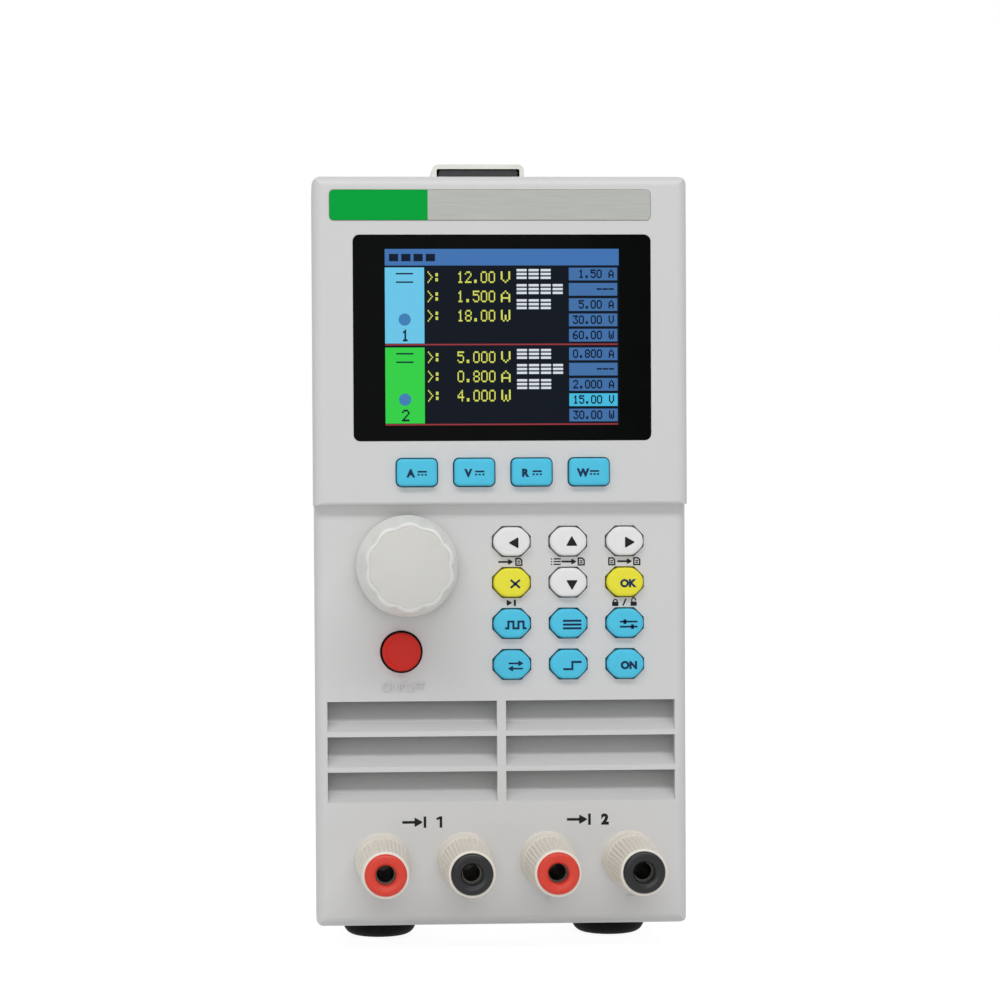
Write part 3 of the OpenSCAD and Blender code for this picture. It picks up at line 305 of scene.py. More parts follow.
def powder_coat(name, colour):
    """Powder-coated sheet steel: an orange peel of low bumps about 0.7 mm apart, satin, with a faint
    speckle."""
    material, tree, shader, place = blank(name, IOR=1.5)
    peel = add(tree, "ShaderNodeTexVoronoi", {"Vector": place, "Scale": 1 / (0.7 * MM), "Smoothness": 1.0},
               feature="SMOOTH_F1")
    speck = add(tree, "ShaderNodeTexNoise", {"Vector": place, "Scale": 1 / (0.35 * MM), "Detail": 2.0})
    base = linear(colour)
    tone = add(tree, "ShaderNodeMix", {"Factor": speck.outputs["Fac"],
                                       "A": (*(c * 0.93 for c in base[:3]), 1),
                                       "B": (*(min(c * 1.05, 1) for c in base[:3]), 1)}, data_type="RGBA")
    gloss = add(tree, "ShaderNodeMapRange", {"Value": speck.outputs["Fac"], "To Min": 0.42, "To Max": 0.6})
    relief = add(tree, "ShaderNodeBump", {"Height": peel.outputs["Distance"],
                                          "Strength": 0.5, "Distance": 0.05 * MM})
    tree.links.new(tone.outputs["Result"], shader.inputs["Base Color"])
    tree.links.new(gloss.outputs["Result"], shader.inputs["Roughness"])
    tree.links.new(relief.outputs["Normal"], shader.inputs["Normal"])
    return material


def galvanised(name):
    """Zinc-coated steel: flat crystals about 5 mm wide, each with its own grey and gloss."""
    material, tree, shader, place = blank(name, Metallic=1.0)
    spangle = add(tree, "ShaderNodeTexVoronoi", {"Vector": place, "Scale": 1 / (5 * MM)})
    value = add(tree, "ShaderNodeSeparateColor", {"Color": spangle.outputs["Color"]})
    tone = add(tree, "ShaderNodeMix", {"Factor": value.outputs["Red"], "A": linear("#9ea2a5"),
                                       "B": linear("#bcc0c2")}, data_type="RGBA")
    gloss = add(tree, "ShaderNodeMapRange", {"Value": value.outputs["Green"], "To Min": 0.3, "To Max": 0.5})
    tree.links.new(tone.outputs["Result"], shader.inputs["Base Color"])
    tree.links.new(gloss.outputs["Result"], shader.inputs["Roughness"])
    return material


def label_film(name, split):
    """Printed polycarbonate film: a green end up to `split` millimetres along x, then satin silver with
    fine lines."""
    material, tree, shader, place = blank(name, IOR=1.58, Specular_IOR_Level=0.04)
    axes = add(tree, "ShaderNodeSeparateXYZ", {"Vector": place})
    past = add(tree, "ShaderNodeMath", {0: axes.outputs["X"], 1: split * MM}, operation="GREATER_THAN")
    stretch = add(tree, "ShaderNodeMapping", {"Vector": place,
                                              "Scale": (1 / (9 * MM), 1 / MM, 1 / (0.25 * MM))})
    lines = add(tree, "ShaderNodeTexNoise", {"Vector": stretch.outputs["Vector"], "Scale": 1.0,
                                             "Detail": 3.0})
    silver = add(tree, "ShaderNodeMix", {"Factor": lines.outputs["Fac"], "A": linear("#aaaca6"),
                                         "B": linear("#c3c5bf")}, data_type="RGBA")
    tone = add(tree, "ShaderNodeMix", {"Factor": past.outputs["Value"], "A": linear("#00a03c"),
                                       "B": silver.outputs["Result"]}, data_type="RGBA")
    gloss = add(tree, "ShaderNodeMapRange", {"Value": lines.outputs["Fac"], "To Min": 0.28, "To Max": 0.42})
    tree.links.new(tone.outputs["Result"], shader.inputs["Base Color"])
    tree.links.new(gloss.outputs["Result"], shader.inputs["Roughness"])
    return material


def clear_window(name, colour):
    """Hard-coated acrylic with a black print behind it: deep and smooth, with faint wiping marks in its
    gloss."""
    material, tree, shader, place = blank(name, Base_Color=linear(colour), IOR=1.49, Specular_IOR_Level=0.02)
    wiped = add(tree, "ShaderNodeTexNoise", {"Vector": place, "Scale": 1 / (14 * MM),
                                             "Detail": 4.0, "Distortion": 1.5})
    gloss = add(tree, "ShaderNodeMapRange", {"Value": wiped.outputs["Fac"], "From Min": 0.35, "From Max": 0.7,
                                             "To Min": 0.05, "To Max": 0.2})
    tree.links.new(gloss.outputs["Result"], shader.inputs["Roughness"])
    return material


def lit_pixels(name, colour, level=0.85):
    """A lit area of a colour display under its window. The pixels' rows and columns, 0.174 mm apart on
    the real panel, are drawn 0.35 mm apart so that they show, as a slight weave of light and dark."""
    material, tree, shader, place = blank(name, Base_Color=(0.002, 0.002, 0.002, 1), Roughness=0.12, IOR=1.49,
                                          Specular_IOR_Level=0.02, Emission_Strength=level)
    pitch = 2 * math.pi / (0.35 * MM)
    axes = add(tree, "ShaderNodeSeparateXYZ", {"Vector": place})
    columns = add(tree, "ShaderNodeMath", {0: axes.outputs["X"], 1: pitch}, operation="MULTIPLY")
    rows = add(tree, "ShaderNodeMath", {0: axes.outputs["Z"], 1: pitch}, operation="MULTIPLY")
    across = add(tree, "ShaderNodeMath", {0: columns.outputs["Value"]}, operation="SINE")
    upward = add(tree, "ShaderNodeMath", {0: rows.outputs["Value"]}, operation="SINE")
    weave = add(tree, "ShaderNodeMath", {0: across.outputs["Value"], 1: upward.outputs["Value"]},
                operation="ADD")
    base = linear(colour)[:3]
    light = add(tree, "ShaderNodeMapRange", {"Value": weave.outputs["Value"], "From Min": -2.0,
                                             "From Max": 2.0})
    tone = add(tree, "ShaderNodeMix", {"Factor": light.outputs["Result"], "A": (*(c * 0.86 for c in base), 1),
                                       "B": (*(min(c * 1.1, 1) for c in base), 1)}, data_type="RGBA")
    tree.links.new(tone.outputs["Result"], shader.inputs["Emission Color"])
    return material


def circuit_board(name):
    """Glass-epoxy board under green solder mask: paler copper tracks show through as a fine square
    pattern."""
    material, tree, shader, place = blank(name, Roughness=0.35)
    tracks = add(tree, "ShaderNodeTexVoronoi", {"Vector": place, "Scale": 1 / (3 * MM)}, distance="CHEBYCHEV")
    line = add(tree, "ShaderNodeMapRange", {"Value": tracks.outputs["Distance"], "From Min": 0.3,
                                            "From Max": 0.45})
    tone = add(tree, "ShaderNodeMix", {"Factor": line.outputs["Result"], "A": linear("#1f6b3a"),
                                       "B": linear("#2f8650")}, data_type="RGBA")
    relief = add(tree, "ShaderNodeBump", {"Height": line.outputs["Result"], "Strength": 0.4,
                                          "Distance": 0.03 * MM})
    tree.links.new(tone.outputs["Result"], shader.inputs["Base Color"])
    tree.links.new(relief.outputs["Normal"], shader.inputs["Normal"])
    return material


def print_ink(name, colour):
    """Screen-printed ink: dense and dull, a little thinner here and there."""
    material, tree, shader, place = blank(name, Roughness=0.6, Specular_IOR_Level=0.12)
    cover = add(tree, "ShaderNodeTexNoise", {"Vector": place, "Scale": 1 / (0.5 * MM), "Detail": 2.0})
    base = linear(colour)[:3]
    tone = add(tree, "ShaderNodeMix", {"Factor": cover.outputs["Fac"], "A": (*base, 1),
                                       "B": (*(c * 1.3 + 0.01 for c in base), 1)}, data_type="RGBA")
    tree.links.new(tone.outputs["Result"], shader.inputs["Base Color"])
    return material


# The mould's grain on the bezel is about 0.1 mm wide and is drawn 0.35 mm wide so that it shows
BEZEL_GREY = moulded("abs_eroded_grey", "#cecece", 0.46, 0.35, 0.012, mottle=0.02, tone=30, IOR=1.53)
COVER_PAINT = powder_coat("steel_powder_coated_grey", "#d4d5d4")
CHASSIS_ZINC = galvanised("steel_galvanised")
GREEN_END = 23.2
NAME_FILM = label_film("polycarbonate_film_green_and_silver", corners("nameplate")[0][0] + GREEN_END)
WINDOW_BLACK = clear_window("acrylic_black_hard_coat", "#060707")
KEY_BLUE = moulded("silicone_blue", "#46bfe0", 0.42, 0.3, 0.004, mottle=0.04, IOR=1.41)
KEY_WHITE = moulded("silicone_white", "#e4e4e4", 0.42, 0.3, 0.006, mottle=0.02, IOR=1.41)
KEY_YELLOW = moulded("silicone_yellow", "#e6de30", 0.42, 0.3, 0.006, mottle=0.03, IOR=1.41)
# Milk-white acrylic takes light a few millimetres in, which softens the shade on its flutes
# Its white is lighter than the frosted face disc's grey partly as painted light, which lifts the sides that
# face away from the lamps
KNOB_MILK = moulded("acrylic_milk_white", "#e6e5e0", 0.4, 7, 0, mottle=0.015, tone=14, sheen=0.03, IOR=1.49,
                    Subsurface_Weight=0.9, Subsurface_Radius=(1, 1, 0.9), Subsurface_Scale=5 * MM)
KNOB_FROST = moulded("acrylic_frosted_grey", "#cecdc8", 0.42, 0.4, 0.003, mottle=0.02, tone=14, IOR=1.49)
POWER_RED = moulded("abs_polished_red", "#d0241a", 0.34, 5, 0, mottle=0.03, sheen=0.04,
                    Specular_IOR_Level=0.2)
POST_CREAM = moulded("nylon_cream", "#e4ddd2", 0.42, 4, 0, mottle=0.03, sheen=0.04, IOR=1.53)
RING_RED = moulded("abs_polished_ring_red", "#d63c2b", 0.2, 4, 0, mottle=0.04, sheen=0.03,
                   Specular_IOR_Level=0.3)
RING_BLACK = moulded("abs_polished_ring_black", "#1d1e20", 0.18, 4, 0, mottle=0.05, sheen=0.03,
                     Specular_IOR_Level=0.3)
FOOT_RUBBER = moulded("rubber_black", "#0e0e0e", 0.7, 0.5, 0.03, mottle=0.15, Specular_IOR_Level=0.12)
STRAP_VINYL = moulded("vinyl_black_grained", "#1c1d1f", 0.5, 0.9, 0.06, mottle=0.12, IOR=1.52)
FAN_BLACK = moulded("pbt_black", "#1d1e20", 0.5, 0.4, 0.01, mottle=0.08)
SWITCH_BLACK = moulded("nylon_black", "#252628", 0.5, 0.3, 0.006, mottle=0.08)
EPOXY_BLACK = moulded("epoxy_black", "#1b1c1d", 0.55, 0.2, 0.008, mottle=0.1)
ROTOR_CREAM = moulded("acetal_cream", "#d8d2c0", 0.4, 0.4, 0.004)
SCREEN_BACK = moulded("polycarbonate_grey", "#3a3f45", 0.4, 0.4, 0.006)
CHROME = plated("steel_chrome_plated", "#b6b8b1", 0.22, (12, 12, 12), spread=0.06, marks=0.0005)
NICKEL_WIRE = plated("wire_nickel_plated", "#c4c6c7", 0.18, (2, 2, 2))
ZINC_SCREW = plated("screw_zinc_plated", "#a9acae", 0.28, (0.4, 0.4, 0.4))
# The studs' nickel plating is given a dark grey as painted shade, standing in for the shade deep in the
# posts' bores
STUD_PAINTED_SHADE = plated("brass_nickel_plated_painted_dark", "#54524e", 0.3, (0.15, 6, 0.15))
STEEL = plated("steel_turned", "#b9bcbe", 0.25, (0.2, 5, 0.2))
CAN_STEEL = plated("steel_tinned", "#a4a7a9", 0.3, (0.4, 5, 5))
EXTRUDED = plated("aluminium_extruded", "#a6a9ab", 0.35, (0.3, 30, 0.3))
COPPER_WOUND = plated("copper_enamelled_winding", "#8a5a33", 0.35, (5, 5, 0.6))
BOARD_GREEN = circuit_board("board_green_mask")
INK_NAVY = print_ink("ink_navy", "#10294a")
INK_BLACK = print_ink("ink_black", "#141414")

CAD_FINISHES = {
    BEZEL_GREY: ["front_bezel"],
    COVER_PAINT: ["top_cover", "rear_panel"],
    CHASSIS_ZINC: ["chassis"],
    NAME_FILM: ["nameplate"],
    WINDOW_BLACK: ["screen_window"],
    SCREEN_BACK: ["lcd_module"],
    BOARD_GREEN: ["front_board", "power_board"],
    SWITCH_BLACK: ["tact_switches", "power_switch", "iec_inlet"],
    CAN_STEEL: ["encoder_body", "serial_port"],
    ROTOR_CREAM: ["encoder_rotor"],
    STEEL: ["encoder_shaft", "post_rear_nuts"] + [f"post_washer_{i}" for i in range(1, 5)],
    STUD_PAINTED_SHADE: ["post_studs"],
    ZINC_SCREW: ["case_screws"],
    FOOT_RUBBER: ["feet"],
    CHROME: ["handle_caps"],
    FAN_BLACK: ["fan_frame", "fan_rotor"],
    NICKEL_WIRE: ["fan_guard"],
    EXTRUDED: ["heatsinks"],
    EPOXY_BLACK: ["mosfets"],
    COPPER_WOUND: ["transformer"],
}
for finish, names in CAD_FINISHES.items():
    for name in names:
        for slot in nodes[name].material_slots:
            slot.material = finish


# Keys

INK = 0.03
EDGE, CROWN = 0.6, 0.05
LIP, LIP_BACK = 0.7, 1.0
PAD_SIZE, PAD_CUT, PAD_CORNER = (8.7, 6.8), 2.2, 2.5
SOFT_SIZE, SOFT_CORNER = (9.5, 6.4), 1.2
PANEL_WALL, KEY_PROUD = 2.6, 1.6


def pad_corners():
    """Corners of a keypad key: a rectangle with its four corners cut off, counter-clockwise."""
    x, y, c = PAD_SIZE[0] / 2, PAD_SIZE[1] / 2, PAD_CUT
    return np.array([[c - x, -y], [x - c, -y], [x, c - y], [x, y - c],
                     [x - c, y], [c - x, y], [-x, y - c], [-x, c - y]])


def key_cap(node, outline, corner):
    """A rubber key: from the back, a lip that holds it behind the panel, a straight wall, a round edge
    and a flat face, with a round stem on its back. Heights are out from the face. Returns its shapes and
    the middle of its face."""
    low, high = corners(node)
    face = middle_at(low, high, low[1] + CROWN)
    lip = -KEY_PROUD - PANEL_WALL
    edge = arc((EDGE, -EDGE), EDGE, 180, 90)
    profile = [(-LIP, lip - LIP_BACK), (-LIP, lip), (0, lip), (0, -EDGE - 0.3), *edge,
               (EDGE + 0.3, CROWN * 0.7), (EDGE + 0.9, CROWN)]
    stem = turned([(1.7, low[1] - high[1]), (1.7, lip - LIP_BACK / 2)], steps=32)
    shapes = [moved(skin(carried(outline, corner, profile)), face), moved(skin(stem), face)]
    return shapes, face - (0, CROWN, 0)


def triangle(size, turn):
    """A triangle that points along turn, in degrees, as a solid of ink."""
    tips = arc((0, 0), size, turn, turn + 240, steps=3)
    return slab(tips, 0.15, 0, INK)


def ink_line(path, width, closed=False):
    """A line of ink of one width along a flat path."""
    half = width / 2
    return stroke(path, [(half, 0), (half, INK), (-half, INK), (-half, 0)], closed)


def direct_current(right):
    """The sign for direct current, a line over three dashes, so far to the right."""
    dashes = [ink_line([(x - 0.24, -0.36), (x + 0.24, -0.36)], 0.4) for x in (-0.85, 0, 0.85)]
    return [moved_flat(shape, right) for shape in (ink_line([(-1.09, 0.36), (1.09, 0.36)], 0.4), *dashes)]


def arrow(right, up, turn):
    """An arrow to the right or, with a turn of 180 degrees, to the left, about a point."""
    way = math.cos(math.radians(turn))
    return [moved_flat(ink_line([(-1.7 * way, 0), (0.7 * way, 0)], 0.42), right, up),
            moved_flat(triangle(0.85, turn), right + 1.05 * way, up)]


LINE = 0.5
PULSES = [(-2.5, -0.8), (-1.7, -0.8), (-1.7, 0.8), (-0.5, 0.8), (-0.5, -0.8), (0.7, -0.8),
          (0.7, 0.8), (1.9, 0.8), (1.9, -0.8), (2.6, -0.8)]
SYMBOLS = {
    "key_left": [triangle(1.6, 180)],
    "key_up": [triangle(1.6, 90)],
    "key_right": [triangle(1.6, 0)],
    "key_down": [triangle(1.6, 270)],
    "key_cancel": [ink_line([(-1.1, -y), (1.1, y)], LINE) for y in (0.95, -0.95)],
    "key_confirm": [lettering("OK", 2.0)],
    "key_mode": [ink_line(PULSES, LINE)],
    "key_menu": [ink_line([(-2.2, y), (2.2, y)], LINE) for y in (-0.9, 0, 0.9)],
    "key_setup": [ink_line([(-2.1, y), (2.1, y)], 0.42) for y in (-0.6, 0.6)]
                 + [slab(oblong(0.7, 1.1) + (x, y), 0.1, 0, INK) for x, y in ((-0.9, 0.6), (0.9, -0.6))],
    "key_channel": [*arrow(0, 0.62, 0), *arrow(0, -0.62, 180)],
    "key_trigger": [ink_line([(-2.2, -0.85), (0, -0.85), (0, 0.85), (2.2, 0.85)], LINE)],
    "key_load_on": [lettering("ON", 2.0)],
}
PAD_FINISH = {"key_left": KEY_WHITE, "key_up": KEY_WHITE, "key_right": KEY_WHITE, "key_down": KEY_WHITE,
              "key_cancel": KEY_YELLOW, "key_confirm": KEY_YELLOW}
PRINT_SHIFT = (0.8, -0.3, 0)

for name, symbol in SYMBOLS.items():
    finish = PAD_FINISH.get(name, KEY_BLUE)
    shapes, face = key_cap(name, pad_corners(), PAD_CORNER)
    piece(f"{name}_rubber", shapes, finish, f"{name}_cap", [name])
    ink = INK_BLACK if finish is KEY_WHITE else INK_NAVY
    piece(f"{name}_print", [moved(shape, face, PRINT_SHIFT) for shape in symbol], ink, f"{name}_cap")

for i in range(1, 5):
    name = f"soft_key_{i}"
    shapes, face = key_cap(name, oblong(*SOFT_SIZE), SOFT_CORNER)
    piece(f"{name}_rubber", shapes, KEY_BLUE, f"{name}_cap", [name])
    sign = [moved_flat(lettering("AVRW"[i - 1], 2.0), -1.5), *direct_current(1.2)]
    piece(f"{name}_print", [moved(shape, face, (0, -0.2, 0)) for shape in sign], INK_NAVY, f"{name}_cap")


# Knob and power button

KNOB_FLUTES = 10
FACE_R = 9.45


def knob_surface(node):
    """Milky knob with scalloped sides. The profile (radius, out, scallop depth) runs from the back rim
    over the skirt, up the tapered side and round the edge to the face. A scallop takes depth x (1 -
    |sin(n/2 angle)|) off the radius, so that it is hollow between sharp crests. The second shape is the
    frosted disc let into the face, with the same scallops round it."""
    low, high = corners(node)
    middle = middle_at(low, high, low[1])
    length = high[1] - low[1]
    skirt, top, edge, rim = 12.05, 10.5, 0.85, 2.6
    rise = np.linspace(0, 1, 10)
    foot, neck = rim - length, -edge
    side = np.stack([skirt - (skirt - top) * rise, foot + (neck - foot) * rise, 0.1 + 0.7 * rise], axis=1)
    bend = arc((top - edge, -edge), edge, 0, 90, steps=9)
    fade = np.linspace(0.8, 0.7, len(bend))[:, None]
    profile = np.concatenate([
        [(skirt - 0.3, -length, 0), (skirt, -length + 0.3, 0), (skirt, foot - 0.25, 0),
         (skirt - 0.15, foot, 0.05)],
        side[1:],
        np.concatenate([bend, fade], axis=1)[1:],
        [(FACE_R + 0.05, -0.12, 0.7), (0.5, -0.14, 0)],
    ])
    disc = np.array([(FACE_R, -0.14, 0.7), (FACE_R, -0.08, 0.7), (FACE_R - 0.15, -0.03, 0.7),
                     (0.4, -0.04, 0)])
    turn = np.linspace(0, 2 * np.pi, 240, endpoint=False)
    hollow = 1 - np.sqrt(np.sin(KNOB_FLUTES / 2 * turn) ** 2 + 0.03)
    shapes = []
    for line in (profile, disc):
        radius = line[:, :1] - line[:, 2:] * hollow
        grid = np.stack([radius * np.cos(turn), radius * np.sin(turn), line[:, 1:2] + 0 * turn], axis=-1)
        shapes.append(moved(skin(grid), middle))
    return shapes


knob_body, knob_face = knob_surface("knob")
piece("knob_milky", [knob_body], KNOB_MILK, "knob_assembly", ["knob"], sharp=50)
piece("knob_face_disc", [knob_face], KNOB_FROST, "knob_assembly")

button_low, button_high = corners("power_button")
button_face = middle_at(button_low, button_high, button_low[1])
BUTTON_R = 4.55
button_rim = arc((BUTTON_R - 0.5, -0.5), 0.5, 0, 90)
button_profile = [(BUTTON_R - 0.2, -5.6), (BUTTON_R, -5.4), (BUTTON_R, -0.9), *button_rim,
                  (BUTTON_R - 0.75, -0.02), (BUTTON_R - 1.0, -0.12), (BUTTON_R - 1.4, -0.15), (0.4, -0.15)]
button_stem = turned([(2.0, button_low[1] - button_high[1]), (2.0, -5.0)], steps=32)
button_shapes = [moved(skin(grid), button_face) for grid in (turned(button_profile), button_stem)]
piece("power_button_cap", button_shapes, POWER_RED, "power_cap", ["power_button"])


# Input posts

RIDGES = 36


def post_seat(i):
    """Where a post stands on the panel, behind the middle of its end ring."""
    return middle_at(*corners(f"post_ring_{i}"), LOWER_FACE)


post_seats = [post_seat(i) for i in range(1, 5)]


def insulator():
    """Smooth base of a post: a foot fillet, a straight wall and a round shoulder, with a bore for the
    stud."""
    wall = [(6.5, 0.0), (6.5, 0.8), (6.35, 1.1), (6.35, 7.3), *arc((5.75, 7.4), 0.6, 0, 90), (3.1, 8.0)]
    return skin(turned([(3.1, 0.0), *wall]), ring=(True, True))


def ridged_nut():
    """Tapered nut with straight ridges. Rows are (radius, out, ridge depth), closed round the nut's
    section: washer seat, back, ridged side, round shoulder, ring seat and bore. A ridge takes depth x (1
    + cos(n angle)) / 2 off the radius."""
    base, tip, back, front = 6.3, 5.5, 8.15, 27.2
    rise = np.linspace(0, 1, 12)
    side = np.stack([base - (base - tip) * rise, back + 0.6 + (front - back - 1.8) * rise, 0.38 + 0 * rise],
                    axis=1)
    shoulder = np.concatenate([arc((tip - 0.7, front - 0.7), 0.7, 20, 90, 6), np.zeros((6, 1))], axis=1)
    rows = np.concatenate([
        [(4.9, back + 0.8, 0), (4.9, back, 0), (base - 0.35, back, 0), (base - 0.1, back + 0.25, 0.1)],
        side,
        shoulder,
        [(4.93, front - 0.05, 0), (4.93, 24.15, 0), (3.06, 24.15, 0), (3.06, back + 0.8, 0)],
    ])
    turn = np.linspace(0, 2 * np.pi, RIDGES * 10, endpoint=False)
    radius = rows[:, :1] - rows[:, 2:] * (1 + np.cos(RIDGES * turn)) / 2
    grid = np.stack([radius * np.cos(turn), radius * np.sin(turn), rows[:, 1:2] + 0 * turn], axis=-1)
    return skin(grid, ring=(True, True))


def end_ring():
    """Coloured ring at the tip of a post: round outer edge, flat face, and a bevel down to the plug's
    hole."""
    outer, bore, back, front = 4.875, 2.35, 24.15, 28.0
    lip = arc((outer - 0.8, front - 0.8), 0.8, 0, 90)
    bevel = [(bore + 0.55, front), (bore + 0.4, front - 0.08), (bore, front - 0.6)]
    return skin(turned([(bore, back), (outer, back), *lip, *bevel]), ring=(True, True))


piece("post_bases", [moved(insulator(), seat) for seat in post_seats], POST_CREAM, "instrument",
      ["post_insulators"])
for i, seat in enumerate(post_seats, start=1):
    ring_finish, ring_slot = (RING_RED, "red_rings") if i % 2 else (RING_BLACK, "black_rings")
    piece(f"post_{i}_grip", [moved(ridged_nut(), seat)], POST_CREAM, f"post_{i}_nut",
          [f"post_nut_{i}"], sharp=60)
    piece(f"post_{i}_tip", [moved(end_ring(), seat)], ring_finish, f"post_{i}_nut",
          [f"post_ring_{i}"])


# Prints and raised signs on the bezel

def panel(u, v):
    """A place on the panel: u to the right of its middle, v above its lower edge."""
    return np.array([u, LOWER_FACE, FOOT_OF_PANEL + v])


def bead(path, width, height):
    """A raised moulded line with a half-round section, its foot a little inside the panel."""
    dome = arc((0, 0), 1, 0, 180, 7) * (width / 2, height)
    return stroke(path, [(width / 2, -0.1), *dome, (-width / 2, -0.1)])


def page_symbol(right):
    """A sheet of paper with one corner folded and two lines on it, so far to the right."""
    edge = ink_line([(-0.7, -0.8), (0.7, -0.8), (0.7, 0.35), (0.25, 0.8), (-0.7, 0.8)], 0.34, closed=True)
    lines = [ink_line([(-0.35, y), (0.35, y)], 0.26) for y in (-0.3, 0.15)]
    return [moved_flat(shape, right) for shape in (edge, *lines)]


def list_symbol(right):
    """Three lines, each with a dot before it, so far to the right."""
    lines = [ink_line([(-0.5, y), (1.2, y)], 0.3) for y in (-0.65, 0, 0.65)]
    dots = [slab(oblong(0.32, 0.32) + (-1.0, y), 0.1, 0, INK) for y in (-0.65, 0, 0.65)]
    return [moved_flat(shape, right) for shape in lines + dots]


def padlock_symbol(right, lift):
    """A padlock, so far to the right: a filled body under a bow, which is lifted when the lock is
    open."""
    body = slab(oblong(1.5, 1.0) + (0, -0.4), 0.15, 0, INK)
    bow = ink_line([(-0.45, 0), *arc((0, 0.2 + lift / 2), 0.45, 180, 0, 9), (0.45, lift / 2)], 0.28)
    return [moved_flat(shape, right) for shape in (body, bow)]


def inward_symbol(number):
    """An arrow into a bar, and the number of the input. A one is drawn with a flag, which the built-in
    face lacks."""
    one = [ink_line([(3.0, 0.65), (3.9, 1.15)], 0.5), ink_line([(4.0, -1.35), (4.0, 1.35)], 0.62)]
    return [ink_line([(-5.2, 0), (-2.2, 0)], 0.62), moved_flat(triangle(1.35, 0), -1.6),
            ink_line([(0.2, -1.35), (0.2, 1.35)], 0.62),
            *(one if number == "1" else [moved_flat(lettering(number, 2.7), 3.9)])]


KEY_ROWS = [91.45 - 9.75 * row for row in range(4)]
KEY_COLUMNS = [2.5, 16.0, 29.5]
ABOVE_ROW = 4.9
SMALL_SIGNS = [
    (0, 1, [*arrow(-1.4, 0, 0), *page_symbol(1.8)]),
    (1, 1, [*list_symbol(-2.9), *arrow(0.2, 0, 0), *page_symbol(3.2)]),
    (2, 1, [*page_symbol(-3.0), *arrow(0, 0, 0), *page_symbol(3.0)]),
    (0, 2, [moved_flat(triangle(0.9, 0), -0.7), ink_line([(0.8, -0.75), (0.8, 0.75)], LINE)]),
    (2, 2, [*padlock_symbol(-2.2, 0), ink_line([(-0.35, -0.8), (0.35, 0.8)], 0.36),
            *padlock_symbol(2.2, 0.7)]),
]
small_prints = [moved(shape, panel(KEY_COLUMNS[column], KEY_ROWS[row] + ABOVE_ROW))
                for column, row, shapes in SMALL_SIGNS for shape in shapes]
INPUT_SIGNS = [("1", -18.6, 24.8), ("2", 20.7, 25.1)]
input_prints = [moved(shape, panel(u, v)) for number, u, v in INPUT_SIGNS for shape in inward_symbol(number)]
piece("panel_prints", small_prints + input_prints, INK_BLACK, "instrument")

POWER_SIGN = (-23.4, 57.1)
RAISED = 0.4
power_points, power_faces = lettering("ON/OFF", 2.1, 0.0)
power_sign = [(power_points * (0.95, 1, RAISED / INK), power_faces)]
BEAD_W, BEAD_H = 0.4, 0.22
minus_sign = [bead([(-0.9, 0), (0.9, 0)], BEAD_W, BEAD_H)]
plus_sign = [*minus_sign, bead([(0, -0.9), (0, 0.9)], BEAD_W, BEAD_H)]
POLE_V = 6.7
raised = [moved(shape, panel(*POWER_SIGN)) for shape in power_sign]
for i, seat in enumerate(post_seats):
    raised += [moved(shape, panel(seat[0], POLE_V)) for shape in (minus_sign if i % 2 else plus_sign)]
piece("raised_signs", raised, BEZEL_GREY, "instrument")


# Picture on the display: millimetres to the right of and below the top left corner of the lit area

WINDOW_LOW, WINDOW_HIGH = corners("screen_window")
SCREEN = (55.5, 41.4)
LAYER = 0.02
PIXEL_CORNER = 0.05
SCREEN_RAISE = 0.3
screen_corner = np.array([(WINDOW_LOW[0] + WINDOW_HIGH[0] - SCREEN[0]) / 2, WINDOW_LOW[1],
                          (WINDOW_LOW[2] + WINDOW_HIGH[2] + SCREEN[1]) / 2 + SCREEN_RAISE])


def screen_box(x0, y0, x1, y1, layer):
    """A lit rectangle, from one corner to the other, on a layer above the window's face."""
    outline = oblong(x1 - x0, y1 - y0) + ((x0 + x1) / 2, -(y0 + y1) / 2)
    return moved(slab(outline, PIXEL_CORNER, (layer - 1) * LAYER, layer * LAYER), screen_corner)


# Dot letters, five columns by seven rows: each number holds the lit cells of one row
GLYPHS = {
    "0": (14, 17, 17, 17, 17, 17, 14), "1": (4, 12, 4, 4, 4, 4, 14), "2": (14, 17, 1, 2, 4, 8, 31),
    "3": (31, 2, 4, 2, 1, 17, 14), "4": (2, 6, 10, 18, 31, 2, 2), "5": (31, 16, 30, 1, 1, 17, 14),
    "6": (6, 8, 16, 30, 17, 17, 14), "8": (14, 17, 17, 14, 17, 17, 14), "V": (17, 17, 17, 17, 17, 10, 4),
    "A": (4, 10, 17, 17, 31, 17, 17), "W": (17, 17, 17, 21, 21, 21, 10), ".": (0, 0, 0, 0, 0, 12, 12),
    ":": (0, 12, 12, 0, 12, 12, 0), "-": (0, 0, 0, 31, 0, 0, 0), ">": (8, 4, 2, 1, 2, 4, 8), " ": (0,) * 7,
}
CUBE = np.array([[x, y, z] for z in (0, 1) for y in (0, 1) for x in (0, 1)], float)
CUBE_FACES = np.array([[0, 2, 3, 1], [4, 5, 7, 6], [0, 1, 5, 4], [2, 6, 7, 3], [0, 4, 6, 2], [1, 3, 7, 5]])
DOT_FILL = 0.94


def screen_text(words, height, right, middle, layer, slim=0.79, fill=DOT_FILL):
    """A word in dot letters that ends at `right`, centred on the height `middle`: a small box for every
    lit cell, whose width is `slim` of its height. The box is `fill` of its cell, over 1 for bold."""
    cell = np.array([slim, 1, 0]) * height / 7
    lit = np.array([GLYPHS[letter] for letter in words])[:, :, None] >> np.arange(4, -1, -1) & 1
    letter, row, column = np.nonzero(lit)
    place = np.stack([letter * 6 + column - len(words) * 6 + 1, 3.5 - row - 1, 0 * row], axis=1) * cell
    points = place[:, None] + CUBE * (cell * fill + (0, 0, LAYER))
    faces = np.arange(len(place))[:, None, None] * 8 + CUBE_FACES
    shape = points.reshape(-1, 3), faces.reshape(-1, 4).tolist()
    return moved(shape, screen_corner, (right, -middle, (layer - 1) * LAYER))


